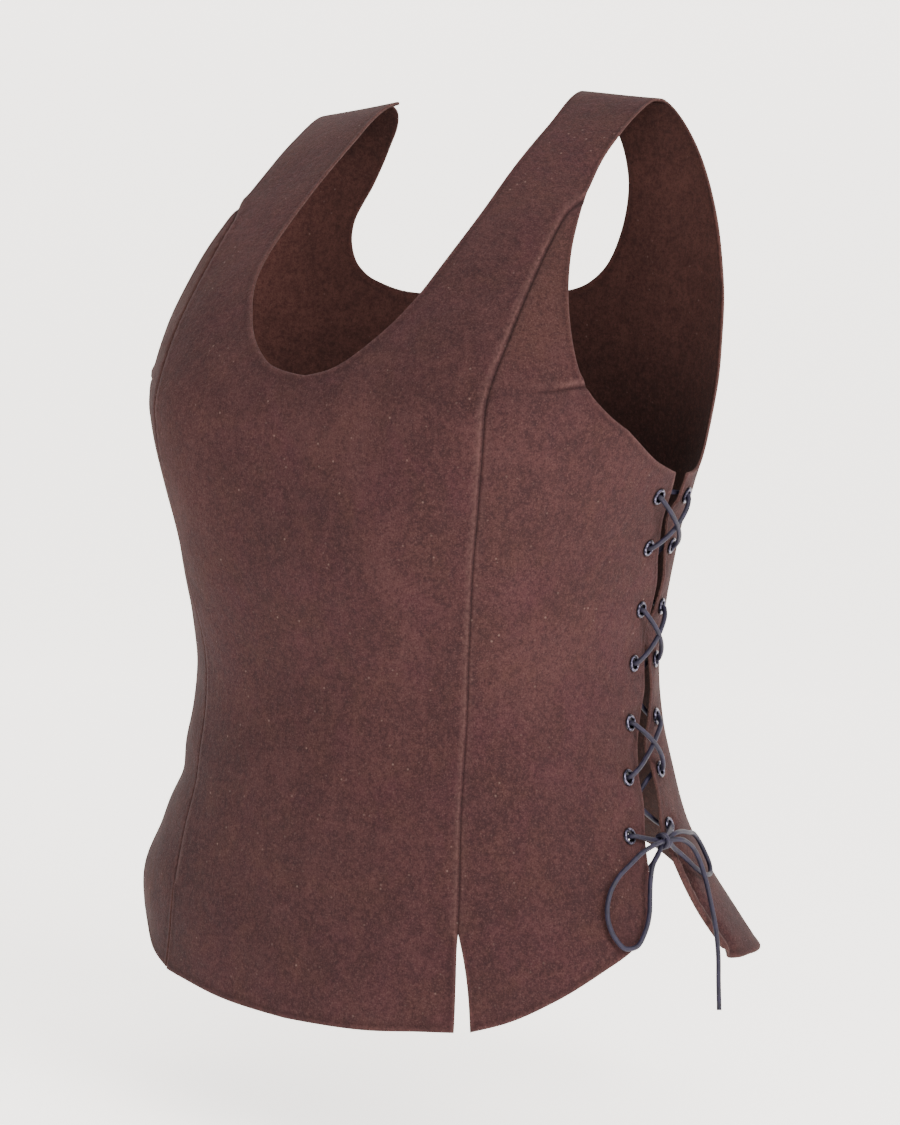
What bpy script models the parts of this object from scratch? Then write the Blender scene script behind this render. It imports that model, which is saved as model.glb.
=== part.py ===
# Sleeveless suede doublet, laced at both sides and filled out as if it were worn.
# Metres, +Z up. The front faces -Y and the wearer's left side is at +X.
# The origin is midway between the tops of the two shoulder straps.

from collections import namedtuple
from math import ceil, cos, exp, hypot, pi, radians, sin

import bmesh
import bpy
from mathutils import Matrix, Vector
from mathutils.geometry import delaunay_2d_cdt

# Driving sizes of the garment
WALL = 0.0018                # thickness of the suede
SEAM_GAP = 0.0004            # clearance between two pieces that are sewn together
DEGREE_WIDTH = 0.003         # width on the flat of one degree round the chest
CELL = 0.021                 # spacing of the points inside a panel
EDGE_STEP = 0.013            # spacing of the points along a panel's edge

# Shape of the torso
SIDE_LINE_Y = -0.046         # the widest line of each side, in front of the shoulder tops
CHEST_HEIGHT = -0.19         # above this level the panels arch to the shoulders
FRONT_SQUARENESS = 2.25
BACK_SQUARENESS = 2.6
BUST_RISE = 0.010
BUST_ANGLE = 33.0
BUST_HEIGHT = -0.20
BUST_ANGLE_SPREAD = 17.0
BUST_HEIGHT_SPREAD = 0.06
TAIL_FLARE = 0.015           # the back's lower corners stand out by this much
TAIL_ANGLE = 62.0
TAIL_SPREAD = 18.0
TAIL_START = -0.42
TAIL_LENGTH = 0.0695

# Shape of the shoulders
SHOULDER_HALF_WIDTH = 0.133
SHOULDER_MIDDLE = 0.092      # distance of a strap's middle from the centre line
SHOULDER_SLOPE = 0.12
FRONT_CHEST_REACH = 0.047    # how far a column keeps its direction, above the chest
FRONT_SHOULDER_REACH = 0.035 # and how far it runs level, before the shoulder top
BACK_CHEST_REACH = 0.120
BACK_SHOULDER_REACH = 0.022

# Eyelets
EYELET_HOLE = 0.0038
EYELET_SIDES = 8
GUARD_RADIUS = 0.0078        # panel points round an eyelet keep the panel true there
GUARD_POINTS = 6

# Lace
LACE_DIAMETER = 0.0027
LACE_STEP = 2.5 * LACE_DIAMETER
CROSSING_RISE = 0.0031       # the upper strand of a crossing passes over the lower one
RUN_END = 0.0046             # the laced run ends this far from its last eyelet
KNOT_AT = (89.3, -0.4185, 0.0078)
KNOT_RADII = (0.0036, 0.0040, 0.0032)
KNOT_GAP = 0.0044            # the strands stop this far from the knot's centre
RIGHT_LOOP_WIDTH = 0.55      # the right bow's front loop hangs narrower than the left one

Level = namedtuple("Level", "height half_width front back")
TORSO = (
    Level(-0.540, 0.188, 0.126, 0.168),
    Level(-0.480, 0.182, 0.122, 0.152),
    Level(-0.410, 0.155, 0.117, 0.116),
    Level(-0.340, 0.141, 0.111, 0.099),
    Level(-0.270, 0.145, 0.127, 0.102),
    Level(-0.190, 0.173, 0.128, 0.086),
)

# Creases of the worn suede on the right side: where they lie, how far they spread, and
# how far they stand out
Fold = namedtuple("Fold", "turn height turn_spread height_spread rise")
FOLDS = (
    Fold(-50, -0.095, 16, 0.055, 0.0072),
    Fold(-58, -0.402, 20, 0.014, -0.0035),
    Fold(-58, -0.460, 20, 0.018, 0.0025),
    Fold(-58, -0.498, 20, 0.018, -0.0047),
)

# Edges and seams of the left half. The angle is measured from the centre front where the
# travel is below zero, and from the centre back where it is above zero. Travel is the
# height below the shoulder's top, negative down the front and positive down the back.
Mark = namedtuple("Mark", "angle travel")
NECK_FRONT_LEFT = (
    Mark(0.0, -0.164), Mark(3.5, -0.161), Mark(9.7, -0.148), Mark(15.1, -0.130),
    Mark(18.5, -0.113), Mark(21.2, -0.096), Mark(23.4, -0.080), Mark(26.0, -0.060),
    Mark(27.6, -0.045), Mark(28.3, -0.022), Mark(28.4, 0.0), Mark(28.4, 0.012),
)
NECK_FRONT_RIGHT = (
    Mark(0.0, -0.164), Mark(3.5, -0.162), Mark(6.8, -0.159), Mark(10.5, -0.152),
    Mark(13.7, -0.144), Mark(16.2, -0.136), Mark(18.5, -0.128), Mark(20.3, -0.119),
    Mark(21.3, -0.108), Mark(21.6, -0.095), Mark(21.5, -0.080), Mark(21.7, -0.065),
    Mark(22.3, -0.050), Mark(23.6, -0.034), Mark(24.7, -0.015), Mark(25.2, 0.0),
    Mark(25.1, 0.012),
)
NECK_BACK_LEFT = (
    Mark(28.4, 0.0124), Mark(28.5, 0.030), Mark(28.6, 0.060), Mark(28.4, 0.079),
    Mark(27.5, 0.092), Mark(25.9, 0.103), Mark(22.4, 0.120), Mark(17.8, 0.134),
    Mark(13.8, 0.140), Mark(9.4, 0.143), Mark(4.5, 0.1445), Mark(0.0, 0.145),
)
NECK_BACK_RIGHT = (
    Mark(25.1, 0.0124), Mark(23.6, 0.030), Mark(23.3, 0.050), Mark(24.5, 0.064),
    Mark(26.0, 0.079), Mark(28.0, 0.092), Mark(30.1, 0.101), Mark(31.6, 0.109),
    Mark(31.8, 0.118), Mark(30.1, 0.128), Mark(26.7, 0.135), Mark(22.7, 0.139),
    Mark(18.4, 0.142), Mark(12.0, 0.144), Mark(6.0, 0.145), Mark(0.0, 0.145),
)
ARMHOLE_FRONT = (
    Mark(62.1, 0.012), Mark(62.0, 0.0), Mark(60.0, -0.018), Mark(53.5, -0.045),
    Mark(48.2, -0.066), Mark(45.8, -0.086),
)
ARMHOLE_SIDE = (
    Mark(45.8, -0.086), Mark(45.7, -0.106), Mark(47.1, -0.124), Mark(49.9, -0.142),
    Mark(55.3, -0.164), Mark(62.3, -0.179), Mark(72.4, -0.195), Mark(81.0, -0.206),
    Mark(90.0, -0.213),
)
ARMHOLE_BACK_LEFT = (
    Mark(62.1, 0.0124), Mark(62.5, 0.040), Mark(62.3, 0.080), Mark(61.0, 0.110),
    Mark(59.5, 0.138), Mark(60.5, 0.165), Mark(63.7, 0.188), Mark(69.0, 0.205),
    Mark(77.0, 0.212), Mark(84.5, 0.214),
)
ARMHOLE_BACK_RIGHT = (
    Mark(62.1, 0.0124), Mark(62.8, 0.040), Mark(64.0, 0.080), Mark(66.3, 0.110),
    Mark(68.0, 0.138), Mark(68.2, 0.160), Mark(69.2, 0.185), Mark(71.8, 0.203),
    Mark(77.6, 0.212), Mark(84.5, 0.214),
)
PRINCESS_SEAM = (
    Mark(45.8, -0.086), Mark(42.2, -0.093), Mark(40.1, -0.105), Mark(38.1, -0.124),
    Mark(36.7, -0.144), Mark(35.3, -0.172), Mark(36.1, -0.194), Mark(37.6, -0.217),
    Mark(39.8, -0.249), Mark(40.5, -0.282), Mark(38.6, -0.326), Mark(37.1, -0.363),
    Mark(34.3, -0.425), Mark(31.9, -0.459),
)
SLIT_FRONT_LEFT = (
    Mark(31.9, -0.459), Mark(31.2, -0.469), Mark(30.6, -0.487), Mark(30.3, -0.512),
)
SLIT_FRONT_RIGHT = (
    Mark(31.9, -0.459), Mark(31.3, -0.469), Mark(30.9, -0.487), Mark(30.7, -0.512),
)
SLIT_SIDE_LEFT = (
    Mark(31.9, -0.459), Mark(32.3, -0.469), Mark(32.9, -0.487), Mark(33.5, -0.511),
)
SLIT_SIDE_RIGHT = (
    Mark(31.9, -0.459), Mark(31.6, -0.469), Mark(31.35, -0.487), Mark(31.2, -0.511),
)
HEM_FRONT = (Mark(24.0, -0.5135), Mark(14.0, -0.517), Mark(0.0, -0.519))
HEM_SIDE = (
    Mark(40.6, -0.505), Mark(50.8, -0.493), Mark(63.1, -0.478), Mark(72.7, -0.468),
    Mark(77.4, -0.462), Mark(80.3, -0.455),
)
LACED_EDGE_FRONT = (
    Mark(90.0, -0.213), Mark(91.5, -0.235), Mark(93.5, -0.260), Mark(96.0, -0.290),
    Mark(94.8, -0.320), Mark(92.5, -0.350), Mark(90.0, -0.380), Mark(87.6, -0.415),
    Mark(83.4, -0.443), Mark(80.3, -0.455),
)
LACED_EDGE_BACK = (
    Mark(84.5, 0.214), Mark(83.0, 0.250), Mark(80.5, 0.290), Mark(81.2, 0.320),
    Mark(82.5, 0.352), Mark(85.0, 0.386), Mark(87.0, 0.411), Mark(86.2, 0.440),
    Mark(84.5, 0.462), Mark(81.5, 0.480),
)
HEM_BACK = (
    Mark(81.5, 0.480), Mark(79.0, 0.4855), Mark(71.0, 0.4885), Mark(61.0, 0.4890),
    Mark(50.0, 0.4850), Mark(42.0, 0.4760), Mark(34.0, 0.4610), Mark(25.0, 0.4480),
    Mark(14.0, 0.4410), Mark(0.0, 0.4385),
)

# Eyelet rows from the top down: height below the shoulder, and the angles of the two
# eyelets, from the centre front and from the centre back
Row = namedtuple("Row", "depth front back")
EYELET_ROWS = (
    Row(0.2260, 86.8, 80.3), Row(0.2550, 89.6, 79.0), Row(0.2900, 91.0, 76.8),
    Row(0.3200, 90.3, 77.4), Row(0.3525, 88.8, 78.2), Row(0.3815, 85.3, 81.2),
    Row(0.4120, 81.8, 83.4),
)

# Section of an eyelet: distance from its axis and height over the panel
Turn = namedtuple("Turn", "radius rise")
EYELET_SECTION = (
    Turn(0.0029, 0.0010), Turn(0.0038, 0.0015), Turn(0.0048, 0.0007),
    Turn(0.00325, 0.0007), Turn(0.00325, -0.0023), Turn(0.0029, -0.0023),
)

# How a lace turns through an eyelet: distance from its axis and height over the panel
THREAD_OUTSIDE = (Turn(0.0007, 0.0022), Turn(0.0026, 0.00315))
THREAD_INSIDE = (Turn(0.0007, -0.0032), Turn(0.0026, -0.0040))

# Routes of the tied lace on the left side: angle from the centre front, height, and
# distance outside the suede's outer face
Lie = namedtuple("Lie", "angle height lift")
BOW_ROUTES = {
    "front_loop": (
        Lie(86.9, -0.4187, 0.0096), Lie(84.6, -0.4196, 0.0090), Lie(80.6, -0.4222, 0.0076),
        Lie(76.9, -0.4264, 0.0062), Lie(72.3, -0.4322, 0.0050), Lie(69.0, -0.4392, 0.0042),
        Lie(67.0, -0.4470, 0.0038), Lie(66.4, -0.4545, 0.0036), Lie(67.0, -0.4615, 0.0038),
        Lie(69.0, -0.4672, 0.0042), Lie(71.8, -0.4672, 0.0045), Lie(75.6, -0.4603, 0.0050),
        Lie(78.2, -0.4525, 0.0054), Lie(80.0, -0.4440, 0.0058), Lie(81.7, -0.4365, 0.0062),
        Lie(84.0, -0.4290, 0.0068), Lie(86.6, -0.4245, 0.0074),
    ),
    "back_loop": (
        Lie(91.7, -0.4162, 0.0102), Lie(94.6, -0.4165, 0.0095), Lie(98.5, -0.4185, 0.0080),
        Lie(102.8, -0.4205, 0.0066), Lie(106.3, -0.4250, 0.0054), Lie(108.4, -0.4320, 0.0048),
        Lie(108.3, -0.4395, 0.0045), Lie(105.8, -0.4435, 0.0045), Lie(102.2, -0.4430, 0.0046),
        Lie(98.6, -0.4380, 0.0048), Lie(95.4, -0.4310, 0.0054), Lie(92.6, -0.4252, 0.0062),
    ),
    "back_end": (
        Lie(91.6, -0.4200, 0.0122), Lie(93.6, -0.4224, 0.0120), Lie(95.9, -0.4270, 0.0112),
        Lie(97.3, -0.4345, 0.0102), Lie(97.5, -0.4440, 0.0090), Lie(96.6, -0.4560, 0.0078),
        Lie(95.4, -0.4690, 0.0070), Lie(94.2, -0.4810, 0.0065), Lie(93.0, -0.4950, 0.0060),
        Lie(92.2, -0.5095, 0.0060),
    ),
    "front_end": (
        Lie(88.6, -0.4245, 0.0034), Lie(87.9, -0.4280, 0.0000), Lie(85.6, -0.4320, -0.0045),
        Lie(82.4, -0.4365, -0.0070), Lie(80.2, -0.4410, -0.0078), Lie(79.2, -0.4460, -0.0082),
    ),
}

# Plain finishes: colour, roughness and metallic value
Finish = namedtuple("Finish", "colour roughness metallic")
SUEDE = Finish((0.115, 0.050, 0.045), 0.92, 0.0)
LACE = Finish((0.020, 0.018, 0.035), 0.60, 0.0)
BLACKENED_METAL = Finish((0.045, 0.045, 0.055), 0.35, 0.9)


def clear_scene():
    for thing in list(bpy.data.objects):
        bpy.data.objects.remove(thing, do_unlink=True)


def smooth(keys, values, at):
    """Value at a key on the smooth curve through a rising table of keys."""
    spans = [b - a for a, b in zip(keys, keys[1:])]
    slopes = [(b - a) / span for a, b, span in zip(values, values[1:], spans)]
    tangents = [slopes[0]]
    for i in range(1, len(slopes)):
        weighted = slopes[i - 1] * spans[i] + slopes[i] * spans[i - 1]
        tangents.append(weighted / (spans[i - 1] + spans[i]))
    tangents.append(slopes[-1])
    i = 0
    while i < len(spans) - 1 and at > keys[i + 1]:
        i += 1
    t = (at - keys[i]) / spans[i]
    if t < 0 or t > 1:
        end = 0 if t < 0 else i + 1
        return values[end] + tangents[end] * (at - keys[end])
    value = (2 * t**3 - 3 * t**2 + 1) * values[i] + (3 * t**2 - 2 * t**3) * values[i + 1]
    value += (t**3 - 2 * t**2 + t) * spans[i] * tangents[i]
    return value + (t**3 - t**2) * spans[i] * tangents[i + 1]


def column(table, name):
    return [getattr(row, name) for row in table]


HEIGHTS = column(TORSO, "height")
HALF_WIDTHS = column(TORSO, "half_width")
FRONTS = column(TORSO, "front")
BACKS = column(TORSO, "back")


def power(value, exponent):
    return abs(value) ** exponent * (1 if value >= 0 else -1)


def ring_point(turn, height):
    """Outer face of the suede on a level ring. The turn is counted from the centre front."""
    facing = cos(radians(turn))
    across = sin(radians(turn))
    exponent = 2 / (FRONT_SQUARENESS if facing >= 0 else BACK_SQUARENESS)
    x = smooth(HEIGHTS, HALF_WIDTHS, height) * power(across, exponent)
    depth = smooth(HEIGHTS, FRONTS if facing >= 0 else BACKS, height)
    y = SIDE_LINE_Y - depth * power(facing, exponent)
    swell = BUST_RISE * exp(-(((abs(turn) - BUST_ANGLE) / BUST_ANGLE_SPREAD) ** 2))
    swell *= exp(-(((height - BUST_HEIGHT) / BUST_HEIGHT_SPREAD) ** 2))
    drop = max(0.0, TAIL_START - height) / TAIL_LENGTH
    from_back = 180 - abs(turn)
    swell += TAIL_FLARE * drop**3 * exp(-(((from_back - TAIL_ANGLE) / TAIL_SPREAD) ** 2))
    return Vector((x + swell * across, y - swell * facing, height))


def shoulder_point(turn):
    squareness = FRONT_SQUARENESS if abs(turn) <= 90 else BACK_SQUARENESS
    x = SHOULDER_HALF_WIDTH * power(sin(radians(turn)), 2 / squareness)
    return Vector((x, 0.0, -SHOULDER_SLOPE * (abs(x) - SHOULDER_MIDDLE)))


def plain_body(turn, travel):
    """Outer face of the suede before it is creased."""
    height = -abs(travel)
    if height <= CHEST_HEIGHT:
        return ring_point(turn, height)
    low = ring_point(turn, CHEST_HEIGHT)
    rise = (low - ring_point(turn, CHEST_HEIGHT - 0.005)).normalized()
    top = shoulder_point(turn)
    if travel <= 0:
        lower = low + rise * FRONT_CHEST_REACH
        upper = top - Vector((0, FRONT_SHOULDER_REACH, 0))
    else:
        lower = low + rise * BACK_CHEST_REACH
        upper = top + Vector((0, BACK_SHOULDER_REACH, 0))
    t = (height - CHEST_HEIGHT) / -CHEST_HEIGHT
    s = 1 - t
    return s**3 * low + 3 * s * s * t * lower + 3 * s * t * t * upper + t**3 * top


def body(angle, travel):
    """Outer face of the suede at a place on the pattern."""
    turn = angle if travel <= 0 else (180 - abs(angle)) * (1 if angle >= 0 else -1)
    rise = 0.0
    for fold in FOLDS:
        across = (turn - fold.turn) / fold.turn_spread
        down = (-abs(travel) - fold.height) / fold.height_spread
        rise += fold.rise * exp(-(across**2) - down**2)
    outward = Vector((sin(radians(turn)), -cos(radians(turn)), 0))
    return plain_body(turn, travel) + outward * rise


def body_normal(angle, travel):
    """Outward direction of the suede at a place on the pattern, front or back."""
    step = 0.0008
    side = 0.3
    along = body(angle + side, travel) - body(angle - side, travel)
    up = body(angle, travel + step) - body(angle, travel - step)
    return along.cross(up).normalized()


def stretch(marks, step, offset=0.0):
    """Evenly spaced places along the smooth curve through the marks, moved sideways by offset."""
    flat = [(mark.angle * DEGREE_WIDTH, mark.travel) for mark in marks]
    keys = [0.0]
    for a, b in zip(flat, flat[1:]):
        keys.append(keys[-1] + hypot(b[0] - a[0], b[1] - a[1]))
    count = max(1, ceil(keys[-1] / step))
    places = []
    for i in range(count + 1):
        key = keys[-1] * i / count
        across = smooth(keys, [place[0] for place in flat], key)
        travel = smooth(keys, [place[1] for place in flat], key)
        places.append(((across + offset) / DEGREE_WIDTH, travel))
    return places


def joined(*runs):
    """One run of places through several, without doubling the places where they meet."""
    places = []
    for run in runs:
        for place in run:
            if not places or hypot(place[0] - places[-1][0], place[1] - places[-1][1]) > 1e-6:
                places.append(place)
    return places


def whole(left, right):
    """A closed outline from its two halves, which both start and end on the centre line."""
    return left + mirrored(right[-2:0:-1])


def mirrored(places):
    return [(-angle, travel) for angle, travel in places]


def inside(place, outline):
    """True where a flat place lies inside a flat outline."""
    x, y = place
    hit = False
    for (ax, ay), (bx, by) in zip(outline, outline[1:] + outline[:1]):
        if (ay > y) != (by > y) and x < ax + (y - ay) * (bx - ax) / (by - ay):
            hit = not hit
    return hit


def clearance(place, outline):
    """Distance of a flat place from a flat outline."""
    x, y = place
    nearest = 1.0
    for (ax, ay), (bx, by) in zip(outline, outline[1:] + outline[:1]):
        dx, dy = bx - ax, by - ay
        t = ((x - ax) * dx + (y - ay) * dy) / (dx * dx + dy * dy)
        t = min(1.0, max(0.0, t))
        nearest = min(nearest, hypot(x - ax - t * dx, y - ay - t * dy))
    return nearest


def circle_on_body(angle, travel, radius, count):
    """Places of a round of the given true radius about a place on the pattern."""
    middle = body(angle, travel)
    along = body(angle + 0.5, travel) - body(angle - 0.5, travel)
    climb = (body(angle, travel + 0.001) - body(angle, travel - 0.001)) / 0.002
    across = along.normalized()
    up = (climb - across * climb.dot(across)).normalized()
    places = []
    for i in range(count):
        turn = 2 * pi * i / count
        target = middle + (across * cos(turn) + up * sin(turn)) * radius
        place = (angle, travel)
        for _ in range(14):
            miss = (target - body(*place)) * 0.5
            travelled = miss.dot(up) / climb.dot(up)
            turned = (miss.dot(across) - travelled * climb.dot(across)) / along.length
            place = (place[0] + turned, place[1] + travelled)
        places.append(place)
    return places


def on_flat(places):
    return [(angle * DEGREE_WIDTH, travel) for angle, travel in places]


def cut_piece(name, outline, eyelets, finish):
    """One cut piece of suede: two skins a wall apart, with their edges closed."""
    rim = on_flat(outline)
    holes = [on_flat(circle_on_body(*eyelet, EYELET_HOLE, EYELET_SIDES)) for eyelet in eyelets]
    guards = [on_flat(circle_on_body(*eyelet, GUARD_RADIUS, GUARD_POINTS)) for eyelet in eyelets]
    points = list(rim)
    edges = [(i, (i + 1) % len(rim)) for i in range(len(rim))]
    for hole in holes:
        start = len(points)
        points += hole
        edges += [(start + i, start + (i + 1) % len(hole)) for i in range(len(hole))]
    for guard in guards:
        points += guard
    left = min(x for x, y in rim)
    low = min(y for x, y in rim)
    rows = ceil((max(y for x, y in rim) - low) / CELL)
    columns = ceil((max(x for x, y in rim) - left) / CELL) + 1
    for row in range(rows):
        for col in range(columns):
            place = (left + (col + 0.5 * (row % 2)) * CELL, low + (row + 0.5) * CELL)
            if not inside(place, rim) or clearance(place, rim) < 0.55 * CELL:
                continue
            if all(clearance(place, hole) > 0.5 * CELL for hole in holes):
                points.append(place)
    flat, _, triangles, _, _, _ = delaunay_2d_cdt([Vector(p) for p in points], edges, [], 0, 1e-7)
    kept = []
    for triangle in triangles:
        middle = sum((flat[i] for i in triangle), Vector((0, 0))) / 3
        if inside(middle, rim) and not any(inside(middle, hole) for hole in holes):
            kept.append(triangle)
    build_skins(name, flat, kept, finish)


def build_skins(name, flat, triangles, finish):
    mesh = bmesh.new()
    outer = []
    inner = []
    for x, travel in flat:
        angle = x / DEGREE_WIDTH
        point = body(angle, travel)
        outer.append(mesh.verts.new(point))
        inner.append(mesh.verts.new(point - WALL * body_normal(angle, travel)))
    sides = {}
    for triangle in triangles:
        mesh.faces.new([outer[i] for i in triangle])
        mesh.faces.new([inner[i] for i in reversed(triangle)])
        for a, b in zip(triangle, list(triangle[1:]) + [triangle[0]]):
            sides[(a, b)] = (b, a) in sides
            if sides[(a, b)]:
                sides[(b, a)] = True
    for (a, b), shared in sides.items():
        if not shared:
            mesh.faces.new([outer[b], outer[a], inner[a], inner[b]])
    loose = [vert for vert in mesh.verts if not vert.link_faces]
    bmesh.ops.delete(mesh, geom=loose, context="VERTS")
    bmesh.ops.triangulate(mesh, faces=[face for face in mesh.faces if len(face.verts) > 3])
    bmesh.ops.recalc_face_normals(mesh, faces=mesh.faces)
    place_mesh(name, mesh, finish)


def place_mesh(name, mesh, finish, location=None):
    data = bpy.data.meshes.new(name)
    mesh.to_mesh(data)
    mesh.free()
    data.shade_smooth()
    data.set_sharp_from_angle(angle=radians(40))
    thing = bpy.data.objects.new(name, data)
    if location is not None:
        thing.matrix_world = location
    bpy.context.scene.collection.objects.link(thing)
    data.materials.append(material_of(name, finish))


def material_of(name, finish):
    material = bpy.data.materials.new(name)
    material.use_nodes = True
    shader = material.node_tree.nodes["Principled BSDF"]
    shader.inputs["Base Color"].default_value = (*finish.colour, 1)
    shader.inputs["Roughness"].default_value = finish.roughness
    shader.inputs["Metallic"].default_value = finish.metallic
    return material


def eyelet_place(edge, row):
    """Place on the pattern of an eyelet of the left side."""
    if edge == "front":
        return EYELET_ROWS[row].front, -EYELET_ROWS[row].depth
    return EYELET_ROWS[row].back, EYELET_ROWS[row].depth


def eyelet_places(edge):
    return [eyelet_place(edge, row) for row in range(len(EYELET_ROWS))]


def build_front():
    armhole = stretch(ARMHOLE_FRONT, EDGE_STEP)
    seam = stretch(PRINCESS_SEAM, EDGE_STEP, -SEAM_GAP / 2)
    halves = []
    for neck, slit in ((NECK_FRONT_LEFT, SLIT_FRONT_LEFT), (NECK_FRONT_RIGHT, SLIT_FRONT_RIGHT)):
        hem = stretch((slit[-1],) + HEM_FRONT, EDGE_STEP)[1:]
        side = joined(armhole[:-1], seam, stretch(slit, EDGE_STEP, -SEAM_GAP / 2), hem)
        halves.append(joined(stretch(neck, EDGE_STEP), side))
    cut_piece("front_centre", whole(*halves), [], SUEDE)


def side_front_outline(slit):
    seam = stretch(PRINCESS_SEAM, EDGE_STEP, SEAM_GAP / 2)
    hem = stretch((slit[-1],) + HEM_SIDE, EDGE_STEP)[1:]
    laced_edge = stretch(LACED_EDGE_FRONT, EDGE_STEP)
    armhole = stretch(ARMHOLE_SIDE, EDGE_STEP)
    slit_edge = stretch(slit, EDGE_STEP, SEAM_GAP / 2)
    return joined(seam, slit_edge, hem, laced_edge[::-1], armhole[:0:-1])


def build_side_fronts():
    left = side_front_outline(SLIT_SIDE_LEFT)
    right = side_front_outline(SLIT_SIDE_RIGHT)
    eyelets = eyelet_places("front")
    cut_piece("side_front_left", left, eyelets, SUEDE)
    cut_piece("side_front_right", mirrored(right), mirrored(eyelets), SUEDE)


def build_back():
    laced_edge = stretch(LACED_EDGE_BACK, EDGE_STEP)
    hem = stretch(HEM_BACK, EDGE_STEP)
    halves = []
    for neck, armhole in ((NECK_BACK_LEFT, ARMHOLE_BACK_LEFT), (NECK_BACK_RIGHT, ARMHOLE_BACK_RIGHT)):
        side = joined(stretch(armhole, EDGE_STEP), laced_edge, hem)
        halves.append(joined(stretch(neck, EDGE_STEP)[::-1], side))
    eyelets = eyelet_places("back")
    cut_piece("back", whole(*halves), eyelets + mirrored(eyelets), SUEDE)


def standing_frame(angle, travel):
    """Turns +Z to the outward direction of the suede at a place, and +X along its ring."""
    normal = body_normal(angle, travel)
    across = (body(angle + 0.5, travel) - body(angle - 0.5, travel)).normalized()
    turn = Matrix((across, normal.cross(across), normal)).transposed()
    return Matrix.Translation(body(angle, travel)) @ turn.to_4x4()


def build_eyelet(name, angle, travel):
    mesh = bmesh.new()
    rings = []
    for i in range(EYELET_SIDES):
        round_turn = 2 * pi * i / EYELET_SIDES
        arm = Vector((cos(round_turn), sin(round_turn), 0))
        section = [arm * turn.radius + Vector((0, 0, turn.rise)) for turn in EYELET_SECTION]
        rings.append([mesh.verts.new(point) for point in section])
    for here, there in zip(rings, rings[1:] + rings[:1]):
        for i in range(len(EYELET_SECTION)):
            j = (i + 1) % len(EYELET_SECTION)
            mesh.faces.new([here[i], there[i], there[j], here[j]])
    bmesh.ops.recalc_face_normals(mesh, faces=mesh.faces)
    place_mesh(name, mesh, BLACKENED_METAL, standing_frame(angle, travel))


def build_eyelets():
    for edge in ("front", "back"):
        for row, (angle, travel) in enumerate(eyelet_places(edge), start=1):
            build_eyelet(f"eyelet_{edge}_left_{row}", angle, travel)
            build_eyelet(f"eyelet_{edge}_right_{row}", -angle, travel)


def build_tube(name, points, finish):
    data = bpy.data.curves.new(name, "CURVE")
    data.dimensions = "3D"
    data.bevel_depth = LACE_DIAMETER / 2
    data.bevel_resolution = 2
    data.use_fill_caps = True
    spline = data.splines.new("POLY")
    spline.points.add(len(points) - 1)
    for spot, point in zip(spline.points, points):
        spot.co = (*point, 1)
    thing = bpy.data.objects.new(name, data)
    bpy.context.scene.collection.objects.link(thing)
    data.materials.append(material_of(name, finish))


def threaded(place, toward, turns):
    """Points of a lace that leaves an eyelet towards another point, nearest the eyelet first."""
    point = body(*place)
    normal = body_normal(*place)
    way = toward - point
    way = (way - normal * way.dot(normal)).normalized()
    return [point + way * turn.radius + normal * turn.rise for turn in turns]


def laced_run(side):
    """Centre line of the laced stretch, from the front's last eyelet up to the top and down again."""
    stops = []
    for row in reversed(range(len(EYELET_ROWS))):
        stops.append(eyelet_place("front" if row % 2 == 0 else "back", row))
    for row in range(len(EYELET_ROWS)):
        stops.append(eyelet_place("back" if row % 2 == 0 else "front", row))
    stops = [(side * angle, travel) for angle, travel in stops]
    knot = lie_point(Lie(*KNOT_AT), side)
    points = loose_end(stops[0], knot)[::-1]
    middle = len(EYELET_ROWS) - 1
    for i, (here, there) in enumerate(zip(stops, stops[1:])):
        turns = THREAD_INSIDE if i % 2 == 0 else THREAD_OUTSIDE
        leaving = threaded(here, body(*there), turns)
        arriving = threaded(there, body(*here), turns)[::-1]
        points += leaving
        if i > middle:
            normal = (body_normal(*here) + body_normal(*there)).normalized()
            rise = normal * (-CROSSING_RISE if i % 2 == 0 else CROSSING_RISE)
            points += [leaving[-1].lerp(arriving[0], share) + rise for share in (0.36, 0.64)]
        points += arriving
    return points + loose_end(stops[-1], knot)


def loose_end(place, knot):
    return threaded(place, knot, THREAD_OUTSIDE + (Turn(RUN_END, THREAD_OUTSIDE[-1].rise),))


def strand_to_knot(edge, side):
    """Centre line of the lace from the lowest eyelet of one edge to the knot."""
    angle, travel = eyelet_places(edge)[-1]
    knot = lie_point(Lie(*KNOT_AT), side)
    start = threaded((side * angle, travel), knot, (Turn(RUN_END + 0.0008, THREAD_OUTSIDE[-1].rise),))[0]
    end = knot + (start - knot).normalized() * KNOT_GAP
    return [start, start.lerp(end, 0.5), end]


def lie_point(lie, side):
    return body(side * lie.angle, lie.height) + body_normal(side * lie.angle, lie.height) * lie.lift


def through(points, step):
    """Evenly spaced points on the smooth curve through a route's points."""
    keys = [0.0]
    for a, b in zip(points, points[1:]):
        keys.append(keys[-1] + (b - a).length)
    count = max(3, ceil(keys[-1] / step))
    curve = []
    for i in range(count + 1):
        key = keys[-1] * i / count
        curve.append(Vector([smooth(keys, [point[axis] for point in points], key) for axis in range(3)]))
    return curve


def build_knot(name, side):
    mesh = bmesh.new()
    bmesh.ops.create_uvsphere(mesh, u_segments=8, v_segments=6, radius=1.0)
    bmesh.ops.scale(mesh, vec=KNOT_RADII, verts=mesh.verts)
    angle, height, lift = KNOT_AT
    frame = standing_frame(side * angle, height)
    place_mesh(name, mesh, LACE, frame @ Matrix.Translation((0, 0, lift)))


def narrowed(angle):
    """Angle of the right bow's front loop, drawn in towards its knot."""
    return KNOT_AT[0] + (angle - KNOT_AT[0]) * RIGHT_LOOP_WIDTH


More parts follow.
